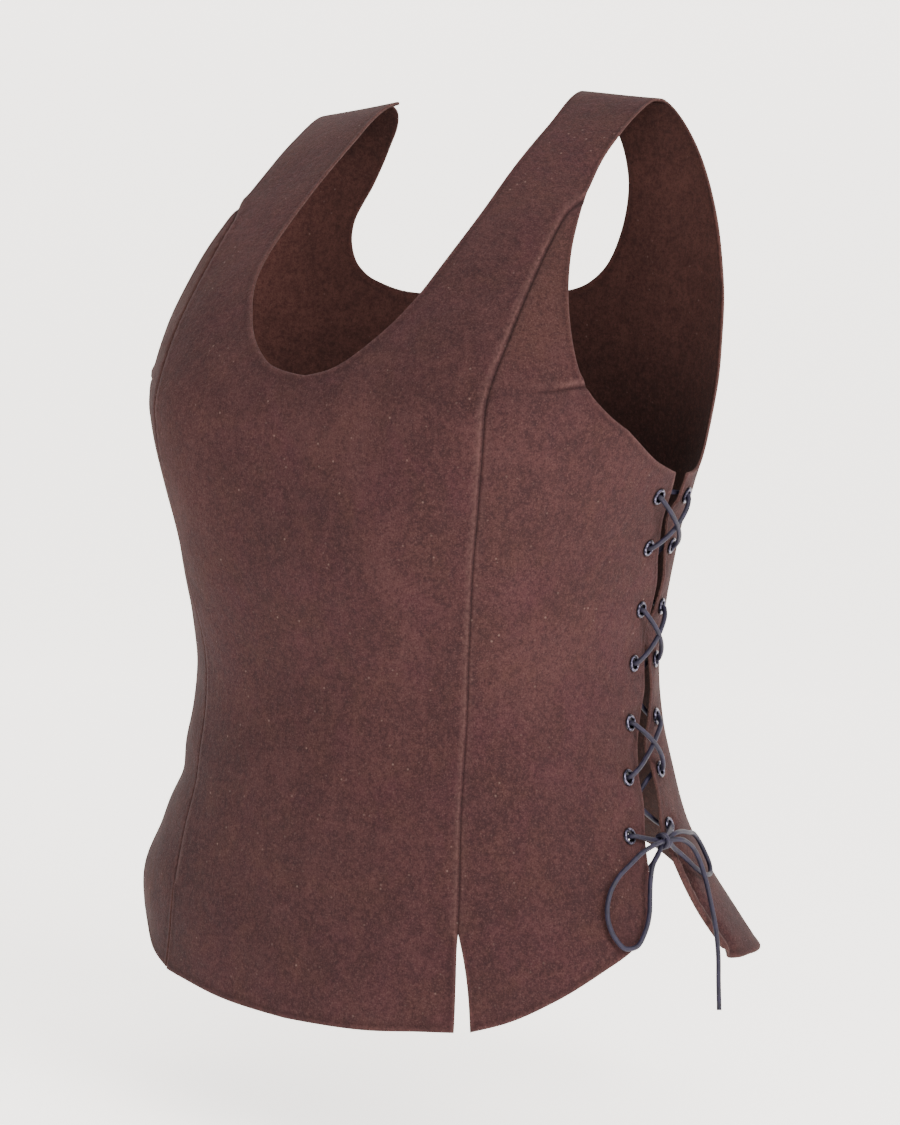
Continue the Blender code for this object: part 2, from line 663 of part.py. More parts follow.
def build_laces():
    for label, side in (("left", 1), ("right", -1)):
        build_tube(f"lace_{label}_run", laced_run(side), LACE)
        build_knot(f"lace_{label}_knot", side)
        for edge in ("front", "back"):
            build_tube(f"lace_{label}_{edge}_strand", strand_to_knot(edge, side), LACE)
        for part, route in BOW_ROUTES.items():
            if side < 0 and part == "front_loop":
                route = [lie._replace(angle=narrowed(lie.angle)) for lie in route]
            points = through([lie_point(lie, side) for lie in route], LACE_STEP)
            build_tube(f"lace_{label}_{part}", points, LACE)


clear_scene()
build_front()
build_side_fronts()
build_back()
build_eyelets()
build_laces()
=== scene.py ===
from math import ceil, cos, pi, radians, sin

import bpy
import numpy as np
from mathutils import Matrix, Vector
from mathutils.geometry import delaunay_2d_cdt


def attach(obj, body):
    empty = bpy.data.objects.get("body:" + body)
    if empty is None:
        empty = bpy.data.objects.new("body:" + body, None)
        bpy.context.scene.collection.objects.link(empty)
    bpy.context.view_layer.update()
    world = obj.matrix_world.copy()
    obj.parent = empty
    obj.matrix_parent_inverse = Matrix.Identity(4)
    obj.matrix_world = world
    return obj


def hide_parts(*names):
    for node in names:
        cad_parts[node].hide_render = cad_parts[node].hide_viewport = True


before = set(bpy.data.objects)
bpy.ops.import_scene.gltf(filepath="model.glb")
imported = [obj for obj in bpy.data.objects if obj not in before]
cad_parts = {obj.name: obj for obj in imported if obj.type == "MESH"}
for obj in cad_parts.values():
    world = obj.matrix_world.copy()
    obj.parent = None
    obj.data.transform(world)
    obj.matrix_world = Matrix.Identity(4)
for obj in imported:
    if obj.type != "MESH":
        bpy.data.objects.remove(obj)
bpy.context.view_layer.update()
print("frame loaded:", len(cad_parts), "CAD nodes")

scene = bpy.context.scene


# Camera, light and room

room = {
    "target": (0.016, -0.046, -0.272),
    "distance": 1.32,
    "azimuth": 34.5,        # degrees, counted from straight in front towards the wearer's left
    "elevation": 4.4,
    "roll": 1.6,
    "lens": 72.35,
    "floorHeight": -0.60,
    "wallDistance": 3.2,    # well past the camera when it looks from behind
    "wallBend": 1.3,
    "wallHeight": 6.4,
    "paperFront": 3.0,
    "paperHalfWidth": 4.0,
    "paper": (0.90, 0.865, 0.83),
    "paperGlow": 2.1,
    "skyStrength": 0.9,
}
# azimuth, elevation, distance, size, power and colour
lights = {
    "keyLight": (76, 28, 2.6, 1.5, 100, (1.0, 0.97, 0.95)),
    "fillLight": (14, 12, 2.8, 1.8, 18, (1.0, 0.98, 0.97)),
    "paperLight": (34, 60, 3.0, 2.2, 34, (1.0, 0.99, 0.98)),
}


def viewAxes(azimuth, elevation, roll):
    a, e, r = radians(azimuth), radians(elevation), radians(roll)
    back = Vector((sin(a) * cos(e), -cos(a) * cos(e), sin(e)))
    right = Vector((cos(a), sin(a), 0))
    up = back.cross(right)
    return right * cos(r) + up * sin(r), up * cos(r) - right * sin(r), back


def addCamera():
    right, up, back = viewAxes(room["azimuth"], room["elevation"], room["roll"])
    data = bpy.data.cameras.new("camera")
    data.lens = room["lens"]
    data.sensor_width = 36
    camera = bpy.data.objects.new("camera", data)
    scene.collection.objects.link(camera)
    place = Vector(room["target"]) + back * room["distance"]
    for row, (x, y, z, w) in enumerate(zip(right, up, back, place)):
        for column, value in enumerate((x, y, z, w)):
            camera.matrix_world[row][column] = value
    scene.camera = camera


def addAreaLight(name, azimuth, elevation, distance, size, power, colour):
    back = viewAxes(azimuth, elevation, 0)[2]
    data = bpy.data.lights.new(name, "AREA")
    data.shape = "DISK"
    data.size = size
    data.energy = power
    data.color = colour
    light = bpy.data.objects.new(name, data)
    light.location = Vector(room["target"]) + back * distance
    light.rotation_euler = back.to_track_quat("Z", "Y").to_euler()
    light.visible_camera = False
    scene.collection.objects.link(light)


def addRoom():
    world = bpy.data.worlds.new("studio")
    world.use_nodes = True
    sky = world.node_tree.nodes["Background"]
    sky.inputs["Color"].default_value = (1.0, 0.985, 0.97, 1)
    sky.inputs["Strength"].default_value = room["skyStrength"]
    scene.world = world
    # floor and wall are one sheet of paper, bent where they meet
    away = -viewAxes(room["azimuth"], 0, 0)[2]
    across = viewAxes(room["azimuth"], 0, 0)[0]
    bend, far = room["wallBend"], room["wallDistance"]
    profile = [(-room["paperFront"], 0.0), (far - bend, 0.0)]
    profile += [(far - bend + bend * sin(t), bend - bend * cos(t)) for t in np.linspace(0.05, pi / 2, 24)]
    profile += [(far, room["wallHeight"])]
    middle = Vector((room["target"][0], room["target"][1], room["floorHeight"]))
    verts, faces = [], []
    for out, rise in profile:
        for side in (-room["paperHalfWidth"], room["paperHalfWidth"]):
            verts.append(middle + away * out + across * side + Vector((0, 0, rise)))
    for i in range(len(profile) - 1):
        faces.append((2 * i, 2 * i + 1, 2 * i + 3, 2 * i + 2))
    mesh = bpy.data.meshes.new("paper")
    mesh.from_pydata(verts, [], faces)
    mesh.shade_smooth()
    paper = bpy.data.objects.new("paper", mesh)
    scene.collection.objects.link(paper)
    material = bpy.data.materials.new("paper")
    material.use_nodes = True
    shader = material.node_tree.nodes["Principled BSDF"]
    shader.inputs["Base Color"].default_value = (*room["paper"], 1)
    shader.inputs["Roughness"].default_value = 0.9
    shader.inputs["Emission Color"].default_value = (*room["paper"], 1)
    shader.inputs["Emission Strength"].default_value = room["paperGlow"]
    mesh.materials.append(material)
    for name, settings in lights.items():
        addAreaLight(name, *settings)


addCamera()
addRoom()
print("camera and room ready")


# The shape that the suede lies on, the same as in the CAD

torso = {
    "height": (-0.540, -0.480, -0.410, -0.340, -0.270, -0.190),
    "halfWidth": (0.188, 0.182, 0.155, 0.141, 0.145, 0.173),
    "front": (0.126, 0.122, 0.117, 0.111, 0.127, 0.128),
    "back": (0.168, 0.152, 0.116, 0.099, 0.102, 0.086),
    "sideLine": -0.046,
    "frontSquareness": 2.25,
    "backSquareness": 2.6,
    "bustRise": 0.010,
    "bustAngle": 33.0,
    "bustHeight": -0.20,
    "bustAngleSpread": 17.0,
    "bustHeightSpread": 0.06,
    "tailFlare": 0.015,
    "tailAngle": 62.0,
    "tailSpread": 18.0,
    "tailStart": -0.42,
    "tailLength": 0.0695,
}
shoulder = {
    "chestHeight": -0.19,
    "halfWidth": 0.133,
    "middle": 0.092,
    "slope": 0.12,
    "frontChestReach": 0.047,
    "frontTopReach": 0.035,
    "backChestReach": 0.120,
    "backTopReach": 0.022,
}
# creases of the worn suede on the right side: turn, height, how far they spread, how far they stand out
folds = (
    (-50, -0.095, 16, 0.055, 0.0072),
    (-58, -0.402, 20, 0.014, -0.0035),
    (-58, -0.460, 20, 0.018, 0.0025),
    (-58, -0.498, 20, 0.018, -0.0047),
)


def smoothCurve(keys, values, at):
    # smooth curve through a rising table of keys, for one place or many
    keys, values, at = (np.asarray(v, float) for v in (keys, values, at))
    spans = np.diff(keys)
    slopes = np.diff(values) / spans
    inner = (slopes[:-1] * spans[1:] + slopes[1:] * spans[:-1]) / (spans[:-1] + spans[1:])
    tangents = np.concatenate([slopes[:1], inner, slopes[-1:]])
    i = np.clip(np.searchsorted(keys, at, side="right") - 1, 0, len(spans) - 1)
    t = (at - keys[i]) / spans[i]
    s = np.clip(t, 0, 1)
    value = (2 * s**3 - 3 * s**2 + 1) * values[i] + (3 * s**2 - 2 * s**3) * values[i + 1]
    value += (s**3 - 2 * s**2 + s) * spans[i] * tangents[i] + (s**3 - s**2) * spans[i] * tangents[i + 1]
    beyond = (t - s) * spans[i]
    return value + beyond * np.where(t < 0, tangents[i], tangents[i + 1])


def power(value, exponent):
    return np.sign(value) * np.abs(value) ** exponent


def bell(distance, spread):
    return np.exp(-((distance / spread) ** 2))


def squareness(turn):
    return 2 / np.where(np.abs(turn) <= 90, torso["frontSquareness"], torso["backSquareness"])


def ringPoint(turn, height):
    facing, across = np.cos(np.radians(turn)), np.sin(np.radians(turn))
    exponent = squareness(turn)
    x = smoothCurve(torso["height"], torso["halfWidth"], height) * power(across, exponent)
    front = smoothCurve(torso["height"], torso["front"], height)
    back = smoothCurve(torso["height"], torso["back"], height)
    y = torso["sideLine"] - np.where(facing >= 0, front, back) * power(facing, exponent)
    swell = torso["bustRise"] * bell(np.abs(turn) - torso["bustAngle"], torso["bustAngleSpread"])
    swell = swell * bell(height - torso["bustHeight"], torso["bustHeightSpread"])
    drop = np.maximum(0, torso["tailStart"] - height) / torso["tailLength"]
    fromBack = 180 - np.abs(turn)
    swell = swell + torso["tailFlare"] * drop**3 * bell(fromBack - torso["tailAngle"], torso["tailSpread"])
    return np.stack([x + swell * across, y - swell * facing, height], -1)


def bodyPoint(angle, travel):
    # angle from the centre front where travel is below zero, else from the centre back
    angle, travel = np.broadcast_arrays(np.asarray(angle, float), np.asarray(travel, float))
    height = -np.abs(travel)
    turn = np.where(travel <= 0, angle, (180 - np.abs(angle)) * np.where(angle >= 0, 1, -1))
    chest = shoulder["chestHeight"]
    lowRing = ringPoint(turn, np.minimum(height, chest))
    low = ringPoint(turn, np.full(height.shape, chest))
    rise = low - ringPoint(turn, np.full(height.shape, chest - 0.005))
    rise /= np.linalg.norm(rise, axis=-1, keepdims=True)
    x = shoulder["halfWidth"] * power(np.sin(np.radians(turn)), squareness(turn))
    top = np.stack([x, 0 * x, -shoulder["slope"] * (np.abs(x) - shoulder["middle"])], -1)
    onFront = (travel <= 0)[..., None]
    lower = low + rise * np.where(onFront, shoulder["frontChestReach"], shoulder["backChestReach"])
    reach = np.where(onFront, -shoulder["frontTopReach"], shoulder["backTopReach"])
    upper = top + np.array([0, 1, 0]) * reach
    t = np.clip((height - chest) / -chest, 0, 1)[..., None]
    s = 1 - t
    arch = s**3 * low + 3 * s * s * t * lower + 3 * s * t * t * upper + t**3 * top
    point = np.where((height <= chest)[..., None], lowRing, arch)
    lift = sum(f[4] * bell(turn - f[0], f[2]) * bell(height - f[1], f[3]) for f in folds)
    facing, sideways = np.cos(np.radians(turn)), np.sin(np.radians(turn))
    return point + lift[..., None] * np.stack([sideways, -facing, 0 * facing], -1)


def bodyFrame(angle, travel):
    # across, up and outward directions of the suede
    angle, travel = np.asarray(angle, float), np.asarray(travel, float)
    across = bodyPoint(angle + 0.3, travel) - bodyPoint(angle - 0.3, travel)
    climb = bodyPoint(angle, travel + 0.0008) - bodyPoint(angle, travel - 0.0008)
    out = np.cross(across, climb)
    out /= np.linalg.norm(out, axis=-1, keepdims=True)
    across /= np.linalg.norm(across, axis=-1, keepdims=True)
    return across, np.cross(out, across), out


# Materials

suedeLook = {
    "base": (0.0345, 0.0132, 0.0130),
    "dark": (0.0165, 0.0066, 0.0078),
    "light": (0.060, 0.0250, 0.0240),
    "brown": (0.046, 0.0195, 0.0150),
    "wine": (0.040, 0.0125, 0.0160),
    "fleck": (0.15, 0.095, 0.080),
    "shadow": (0.010, 0.0042, 0.0045),
    "insideBase": (0.0340, 0.0122, 0.0100),
    "insideLight": (0.0580, 0.0225, 0.0185),
    # painted shade colour for the lower and upper inside
    "insidePaintedShade": (0.006, 0.0026, 0.0022),
    "edge": (0.090, 0.0450, 0.0400),
    "cut": (0.018, 0.0090, 0.0085),
    "roughness": 0.93,
    "napDepth": 0.35,
    "grainContrast": 0.48,
    "napContrast": 0.55,
    "fleckScale": 150.0,
}
laceLook = {"base": (0.0055, 0.0042, 0.0125), "light": (0.020, 0.0155, 0.040), "roughness": 0.48}
# eyelet metal: a dark base, and a pale colour for the painted highlight on the flange
eyeletLook = {"base": (0.010, 0.009, 0.016), "worn": (0.21, 0.195, 0.28), "roughness": 0.32}
# painted shade: darker places laid on the suede to tone down its lighting: middle, reach and strength
paintedShadePlaces = (
    ((-0.105, -0.140, -0.455), 0.115, 0.80),
    ((-0.115, -0.120, -0.340), 0.090, 0.80),
    ((0.165, -0.110, -0.445), 0.060, 0.22),
    ((0.020, -0.170, -0.470), 0.080, 0.30),
    ((0.190, 0.045, -0.465), 0.090, 1.00),
    ((0.160, 0.030, -0.340), 0.095, 0.80),
    ((0.170, 0.025, -0.240), 0.070, 0.80),
)


def startMaterial(name):
    material = bpy.data.materials.new(name)
    material.use_nodes = True
    tree = material.node_tree
    return material, tree, tree.nodes["Principled BSDF"]


def addNode(tree, kind, inputs=None, **settings):
    node = tree.nodes.new(kind)
    for key, value in settings.items():
        setattr(node, key, value)
    for key, value in (inputs or {}).items():
        if isinstance(value, bpy.types.NodeSocket):
            tree.links.new(value, node.inputs[key])
        else:
            node.inputs[key].default_value = value
    return node


def noise(tree, where, scale, detail=4.0, roughness=0.6, distortion=0.0):
    sockets = {"Vector": where, "Scale": scale, "Detail": detail, "Roughness": roughness}
    sockets["Distortion"] = distortion
    return addNode(tree, "ShaderNodeTexNoise", sockets).outputs["Fac"]


def spread(tree, value, low, high, toLow=0.0, toHigh=1.0):
    sockets = {"Value": value, "From Min": low, "From Max": high, "To Min": toLow, "To Max": toHigh}
    return addNode(tree, "ShaderNodeMapRange", sockets, clamp=True).outputs["Result"]


def blendColour(tree, amount, first, second, kind="MIX"):
    node = addNode(tree, "ShaderNodeMix", data_type="RGBA", blend_type=kind)
    for index, value in ((0, amount), (6, first), (7, second)):
        if isinstance(value, bpy.types.NodeSocket):
            tree.links.new(value, node.inputs[index])
        else:
            node.inputs[index].default_value = (*value, 1) if isinstance(value, tuple) else value
    return node.outputs[2]


def calculate(tree, operation, first, second):
    node = addNode(tree, "ShaderNodeMath", operation=operation)
    for index, value in enumerate((first, second)):
        if isinstance(value, bpy.types.NodeSocket):
            tree.links.new(value, node.inputs[index])
        else:
            node.inputs[index].default_value = value
    return node.outputs["Value"]


def suedeMaterial(name, inside=False):
    # brushed suede: cloudy dye, a mottled nap that lies both ways, faint strokes and pale flecks, with
    # painted shade and painted highlights laid on from the marks and the darker places
    material, tree, shader = startMaterial(name)
    where = addNode(tree, "ShaderNodeTexCoord").outputs["Object"]
    strokes = addNode(tree, "ShaderNodeMapping", {"Vector": where, "Scale": (1.0, 1.0, 0.22)})
    strokes = strokes.outputs["Vector"]
    clouds = noise(tree, where, 13, 5, 0.6, 0.6)
    patches = noise(tree, where, 42, 5, 0.62, 0.4)
    wine = noise(tree, where, 27, 4, 0.6, 0.8)
    mottle = noise(tree, where, 150, 5, 0.7)
    brushed = noise(tree, strokes, 190, 4, 0.65)
    grain = noise(tree, where, 430, 4, 0.7)
    nap = noise(tree, where, 1150, 3, 0.7)
    marks = addNode(tree, "ShaderNodeAttribute", attribute_name="marks").outputs["Color"]
    parts = addNode(tree, "ShaderNodeSeparateColor", {"Color": marks})
    look = suedeLook
    if inside:
        colour = blendColour(tree, spread(tree, mottle, 0.36, 0.64), look["insideBase"], look["insideLight"])
        colour = blendColour(tree, spread(tree, patches, 0.45, 0.70, 0, 0.6), colour, look["insideBase"])
        # painted shade: the inside darkens lower down and near the top, where it lies in shadow
        height = addNode(tree, "ShaderNodeSeparateXYZ", {"Vector": where}).outputs["Z"]
        for low, high, most in ((-0.13, -0.20, 0.62), (-0.045, -0.005, 0.45)):
            colour = blendColour(tree, spread(tree, height, low, high, 0, most), colour, look["insidePaintedShade"])
    else:
        colour = blendColour(tree, spread(tree, clouds, 0.42, 0.64, 0, 0.50), look["base"], look["dark"])
        colour = blendColour(tree, spread(tree, clouds, 0.48, 0.34, 0, 0.45), colour, look["light"])
        colour = blendColour(tree, spread(tree, wine, 0.48, 0.68, 0, 0.65), colour, look["wine"])
        # painted shade: darken the suede round each of these places
        for middle, reach, most in paintedShadePlaces:
            away = addNode(tree, "ShaderNodeVectorMath", {0: where, 1: middle}, operation="DISTANCE")
            away = calculate(tree, "ADD", away.outputs["Value"], spread(tree, patches, 0.3, 0.7, -0.02, 0.02))
            colour = blendColour(tree, spread(tree, away, reach * 0.2, reach, most, 0), colour, look["dark"])
        colour = blendColour(tree, spread(tree, patches, 0.48, 0.72, 0, 0.60), colour, look["brown"])
        colour = blendColour(tree, spread(tree, patches, 0.50, 0.28, 0, 0.35), colour, look["light"])
        colour = blendColour(tree, spread(tree, brushed, 0.42, 0.66, 0, 0.26), colour, look["dark"])
        colour = blendColour(tree, spread(tree, mottle, 0.46, 0.70, 0, 0.42), colour, look["light"])
        colour = blendColour(tree, spread(tree, mottle, 0.48, 0.30, 0, 0.34), colour, look["dark"])
        browned = calculate(tree, "MULTIPLY", parts.outputs["Blue"], 0.45)
        colour = blendColour(tree, browned, colour, look["brown"])
    low, high, tips = ("shadow", "insideLight", "insideLight") if inside else ("dark", "light", "edge")
    grained, napped = look["grainContrast"], look["napContrast"]
    colour = blendColour(tree, spread(tree, grain, 0.52, 0.36, 0, grained), colour, look[low])
    colour = blendColour(tree, spread(tree, grain, 0.52, 0.68, 0, grained), colour, look[high])
    colour = blendColour(tree, spread(tree, nap, 0.50, 0.34, 0, napped), colour, look["shadow"])
    colour = blendColour(tree, spread(tree, nap, 0.56, 0.72, 0, napped), colour, look[tips])
    flecks = {"Vector": where, "Scale": look["fleckScale"], "Randomness": 1.0}
    flecks = addNode(tree, "ShaderNodeTexVoronoi", flecks)
    fleck = spread(tree, flecks.outputs["Distance"], 0.115, 0.055, 0, 0.30 if inside else 0.55)
    fleck = calculate(tree, "MULTIPLY", fleck, spread(tree, patches, 0.46, 0.60))
    colour = blendColour(tree, fleck, colour, look["fleck"])
    if not inside:
        # painted highlight from the red marks, on the cut edges, the seam and dart pads and the rolled tail
        # edge
        worn = calculate(tree, "MULTIPLY", parts.outputs["Red"], spread(tree, grain, 0.35, 0.62, 0.25, 1.0))
        colour = blendColour(tree, worn, colour, look["edge"])
    shade = calculate(tree, "MULTIPLY", parts.outputs["Green"], 0.8)
    colour = blendColour(tree, shade, colour, look["shadow"])
    tree.links.new(colour, shader.inputs["Base Color"])
    rough = spread(tree, mottle, 0.3, 0.7, look["roughness"] - 0.1, 1.0)
    tree.links.new(rough, shader.inputs["Roughness"])
    shader.inputs["Specular IOR Level"].default_value = 0.12
    shader.inputs["Sheen Weight"].default_value = 0.02
    shader.inputs["Sheen Roughness"].default_value = 0.45
    shader.inputs["Sheen Tint"].default_value = (0.95, 0.70, 0.68, 1)
    relief = calculate(tree, "ADD", nap, calculate(tree, "MULTIPLY", grain, 1.5))
    relief = calculate(tree, "ADD", relief, calculate(tree, "MULTIPLY", mottle, 2.2))
    depth = {"Height": relief, "Strength": look["napDepth"], "Distance": 0.0009}
    bump = addNode(tree, "ShaderNodeBump", depth)
    tree.links.new(bump.outputs["Normal"], shader.inputs["Normal"])
    return material


def cutEdgeMaterial():
    material, tree, shader = startMaterial("suedeCutEdge")
    where = addNode(tree, "ShaderNodeTexCoord").outputs["Object"]
    fibre = noise(tree, where, 900, 4, 0.7)
    colour = blendColour(tree, spread(tree, fibre, 0.3, 0.7), suedeLook["cut"], suedeLook["edge"])
    tree.links.new(colour, shader.inputs["Base Color"])
    tree.links.new(spread(tree, fibre, 0.2, 0.8, 0.8, 1.0), shader.inputs["Roughness"])
    shader.inputs["Specular IOR Level"].default_value = 0.1
    bump = addNode(tree, "ShaderNodeBump", {"Height": fibre, "Strength": 0.5, "Distance": 0.0004})
    tree.links.new(bump.outputs["Normal"], shader.inputs["Normal"])
    return material


def laceMaterial():
    # rolled leather lace, dyed dark, with lighter rubbed places
    material, tree, shader = startMaterial("laceLeather")
    where = addNode(tree, "ShaderNodeTexCoord").outputs["Object"]
    rubbed = noise(tree, where, 240, 5, 0.65, 0.3)
    fine = noise(tree, where, 1400, 3, 0.6)
    colour = blendColour(tree, spread(tree, rubbed, 0.42, 0.72, 0, 0.8), laceLook["base"], laceLook["light"])
    tree.links.new(colour, shader.inputs["Base Color"])
    rough = spread(tree, rubbed, 0.3, 0.7, laceLook["roughness"], laceLook["roughness"] + 0.2)
    tree.links.new(rough, shader.inputs["Roughness"])
    shader.inputs["Specular IOR Level"].default_value = 0.28
    relief = calculate(tree, "ADD", fine, rubbed)
    bump = addNode(tree, "ShaderNodeBump", {"Height": relief, "Strength": 0.35, "Distance": 0.0003})
    tree.links.new(bump.outputs["Normal"], shader.inputs["Normal"])
    return material


def eyeletMaterial():
    # blackened metal, with a painted highlight where the flange stands highest
    material, tree, shader = startMaterial("eyeletMetal")
    where = addNode(tree, "ShaderNodeTexCoord").outputs["Object"]
    scratched = noise(tree, where, 700, 4, 0.6)
    marks = addNode(tree, "ShaderNodeAttribute", attribute_name="marks").outputs["Color"]
    high = addNode(tree, "ShaderNodeSeparateColor", {"Color": marks}).outputs["Red"]
    # painted highlight on the top of the flange, broken by scratches
    worn = calculate(tree, "MULTIPLY", high, spread(tree, scratched, 0.46, 0.62, 0.10, 1.0))
    colour = blendColour(tree, worn, eyeletLook["base"], eyeletLook["worn"])
    tree.links.new(colour, shader.inputs["Base Color"])
    rough = eyeletLook["roughness"]
    rough = spread(tree, scratched, 0.3, 0.7, rough - 0.08, rough + 0.15)
    tree.links.new(rough, shader.inputs["Roughness"])
    shader.inputs["Metallic"].default_value = 1.0
    bump = addNode(tree, "ShaderNodeBump", {"Height": scratched, "Strength": 0.12, "Distance": 0.0002})
    tree.links.new(bump.outputs["Normal"], shader.inputs["Normal"])
    return material


suedeOutside = suedeMaterial("suedeOutside")
suedeInside = suedeMaterial("suedeInside", inside=True)
suedeCutEdge = cutEdgeMaterial()
laceLeather = laceMaterial()
eyeletMetal = eyeletMaterial()
print("materials ready")


# Laces come first among the pieces: each is laced through the eyelets of its side and tied in a bow

eyelets = {
    "depth": (0.2260, 0.2550, 0.2900, 0.3200, 0.3525, 0.3815, 0.4120),
    "front": (86.8, 89.6, 91.0, 90.3, 88.8, 85.3, 81.8),     # angles from the centre front
    "back": (80.3, 79.0, 76.8, 77.4, 78.2, 81.2, 83.4),      # angles from the centre back
    "hole": 0.0038,
    # section: distance from the axis and height over the suede
    "section": (
        (0.00290, -0.0023), (0.00285, 0.0004), (0.00295, 0.0009), (0.00320, 0.0013),
        (0.00355, 0.0015), (0.00395, 0.00148), (0.00430, 0.0013), (0.00460, 0.0010),
        (0.00480, 0.0007), (0.00470, 0.00055), (0.00430, 0.0006), (0.00325, 0.0007),
        (0.00325, -0.0023),
    ),
    "sides": 32,
}
laces = {
    "diameter": 0.0027,
    "step": 0.0016,
    "outside": ((0.0007, 0.0022), (0.0026, 0.00315)),        # how a lace turns through an eyelet
    "inside": ((0.0007, -0.0032), (0.0026, -0.0040)),
    "crossingRise": 0.0031,
    "runEnd": 0.0046,
    "knot": (89.3, -0.4185, 0.0078),
    "knotWrap": (0.0031, 0.0034),
    "rightLoopWidth": 0.55,      # the right bow's front loop hangs narrower than the left one
    # routes: angle from the centre front, height, and distance outside the suede
    "frontLoop": (
        (86.9, -0.4187, 0.0096), (84.6, -0.4196, 0.0090), (80.6, -0.4222, 0.0076),
        (76.9, -0.4264, 0.0062), (72.3, -0.4322, 0.0050), (69.0, -0.4392, 0.0042),
        (67.0, -0.4470, 0.0038), (66.4, -0.4545, 0.0036), (67.0, -0.4615, 0.0038),
        (69.0, -0.4672, 0.0042), (71.8, -0.4672, 0.0045), (75.6, -0.4603, 0.0050),
        (78.2, -0.4525, 0.0054), (80.0, -0.4440, 0.0058), (81.7, -0.4365, 0.0062),
        (84.0, -0.4290, 0.0068), (86.6, -0.4245, 0.0074),
    ),
    "backEnd": (
        (91.6, -0.4200, 0.0122), (93.6, -0.4224, 0.0120), (95.9, -0.4270, 0.0112),
        (97.3, -0.4345, 0.0102), (97.5, -0.4440, 0.0090), (96.6, -0.4560, 0.0078),
        (95.4, -0.4690, 0.0070), (94.2, -0.4810, 0.0065), (93.0, -0.4950, 0.0060),
        (92.2, -0.5095, 0.0060),
    ),
    "backLoop": (
        (91.7, -0.4162, 0.0102), (94.6, -0.4165, 0.0095), (98.5, -0.4185, 0.0080),
        (102.8, -0.4205, 0.0066), (106.3, -0.4250, 0.0054), (108.4, -0.4320, 0.0048),
        (108.3, -0.4395, 0.0045), (105.8, -0.4435, 0.0045), (102.2, -0.4430, 0.0046),
        (98.6, -0.4380, 0.0048), (95.4, -0.4310, 0.0054), (92.6, -0.4252, 0.0062),
    ),
    "frontEnd": (
        (88.6, -0.4245, 0.0034), (87.9, -0.4280, 0.0000), (85.6, -0.4320, -0.0045),
        (82.4, -0.4365, -0.0070), (80.2, -0.4410, -0.0078), (79.2, -0.4460, -0.0082),
    ),
}


def eyeletPlace(edge, row):
    depth = eyelets["depth"][row]
    return eyelets[edge][row], -depth if edge == "front" else depth


def liePoint(side, lie, width=1.0):
    angle, height, lift = lie
    angle = laces["knot"][0] + (angle - laces["knot"][0]) * width
    out = bodyFrame(side * angle, height)[2]
    return bodyPoint(side * angle, height) + out * lift


def threaded(place, toward, turns):
    point = bodyPoint(*place)
    out = bodyFrame(*place)[2]
    way = toward - point
    way = way - out * way.dot(out)
    way /= np.linalg.norm(way)
    return [point + way * radius + out * rise for radius, rise in turns]


def throughPoints(points, step):
    points = np.array(points)
    keys = np.concatenate([[0], np.cumsum(np.linalg.norm(np.diff(points, axis=0), axis=1))])
    at = np.linspace(0, keys[-1], max(3, ceil(keys[-1] / step)) + 1)
    return np.stack([smoothCurve(keys, points[:, axis], at) for axis in range(3)], -1)


def lacedRun(side):
    # up from the lowest front eyelet to the top row and down again to the lowest back eyelet
    rows = range(len(eyelets["depth"]))
    stops = [eyeletPlace("front" if row % 2 == 0 else "back", row) for row in reversed(rows)]
    stops += [eyeletPlace("back" if row % 2 == 0 else "front", row) for row in rows]
    stops = [(side * angle, travel) for angle, travel in stops]
    knot = liePoint(side, laces["knot"])
    endTurns = laces["outside"] + ((laces["runEnd"], laces["outside"][-1][1]),)
    points = threaded(stops[0], knot, endTurns)[::-1]
    for i, (here, there) in enumerate(zip(stops, stops[1:])):
        turns = laces["inside"] if i % 2 == 0 else laces["outside"]
        leaving = threaded(here, bodyPoint(*there), turns)
        arriving = threaded(there, bodyPoint(*here), turns)[::-1]
        points += leaving
        if i >= len(rows):
            out = bodyFrame(*here)[2] + bodyFrame(*there)[2]
            rise = out / np.linalg.norm(out) * laces["crossingRise"] * (-1 if i % 2 == 0 else 1)
            points += [leaving[-1] * (1 - t) + arriving[0] * t + rise for t in (0.36, 0.64)]
        points += arriving
    return points + threaded(stops[-1], knot, endTurns)


def makeTube(name, points, diameter):
    data = bpy.data.curves.new(name, "CURVE")
    data.dimensions = "3D"
    data.bevel_depth = diameter / 2
    data.bevel_resolution = 5
    data.use_fill_caps = True
    spline = data.splines.new("POLY")
    spline.points.add(len(points) - 1)
    for spot, point in zip(spline.points, points):
        spot.co = (*point, 1)
    spline.use_smooth = True
    tube = bpy.data.objects.new(name, data)
    scene.collection.objects.link(tube)
    data.materials.append(laceLeather)
    return tube


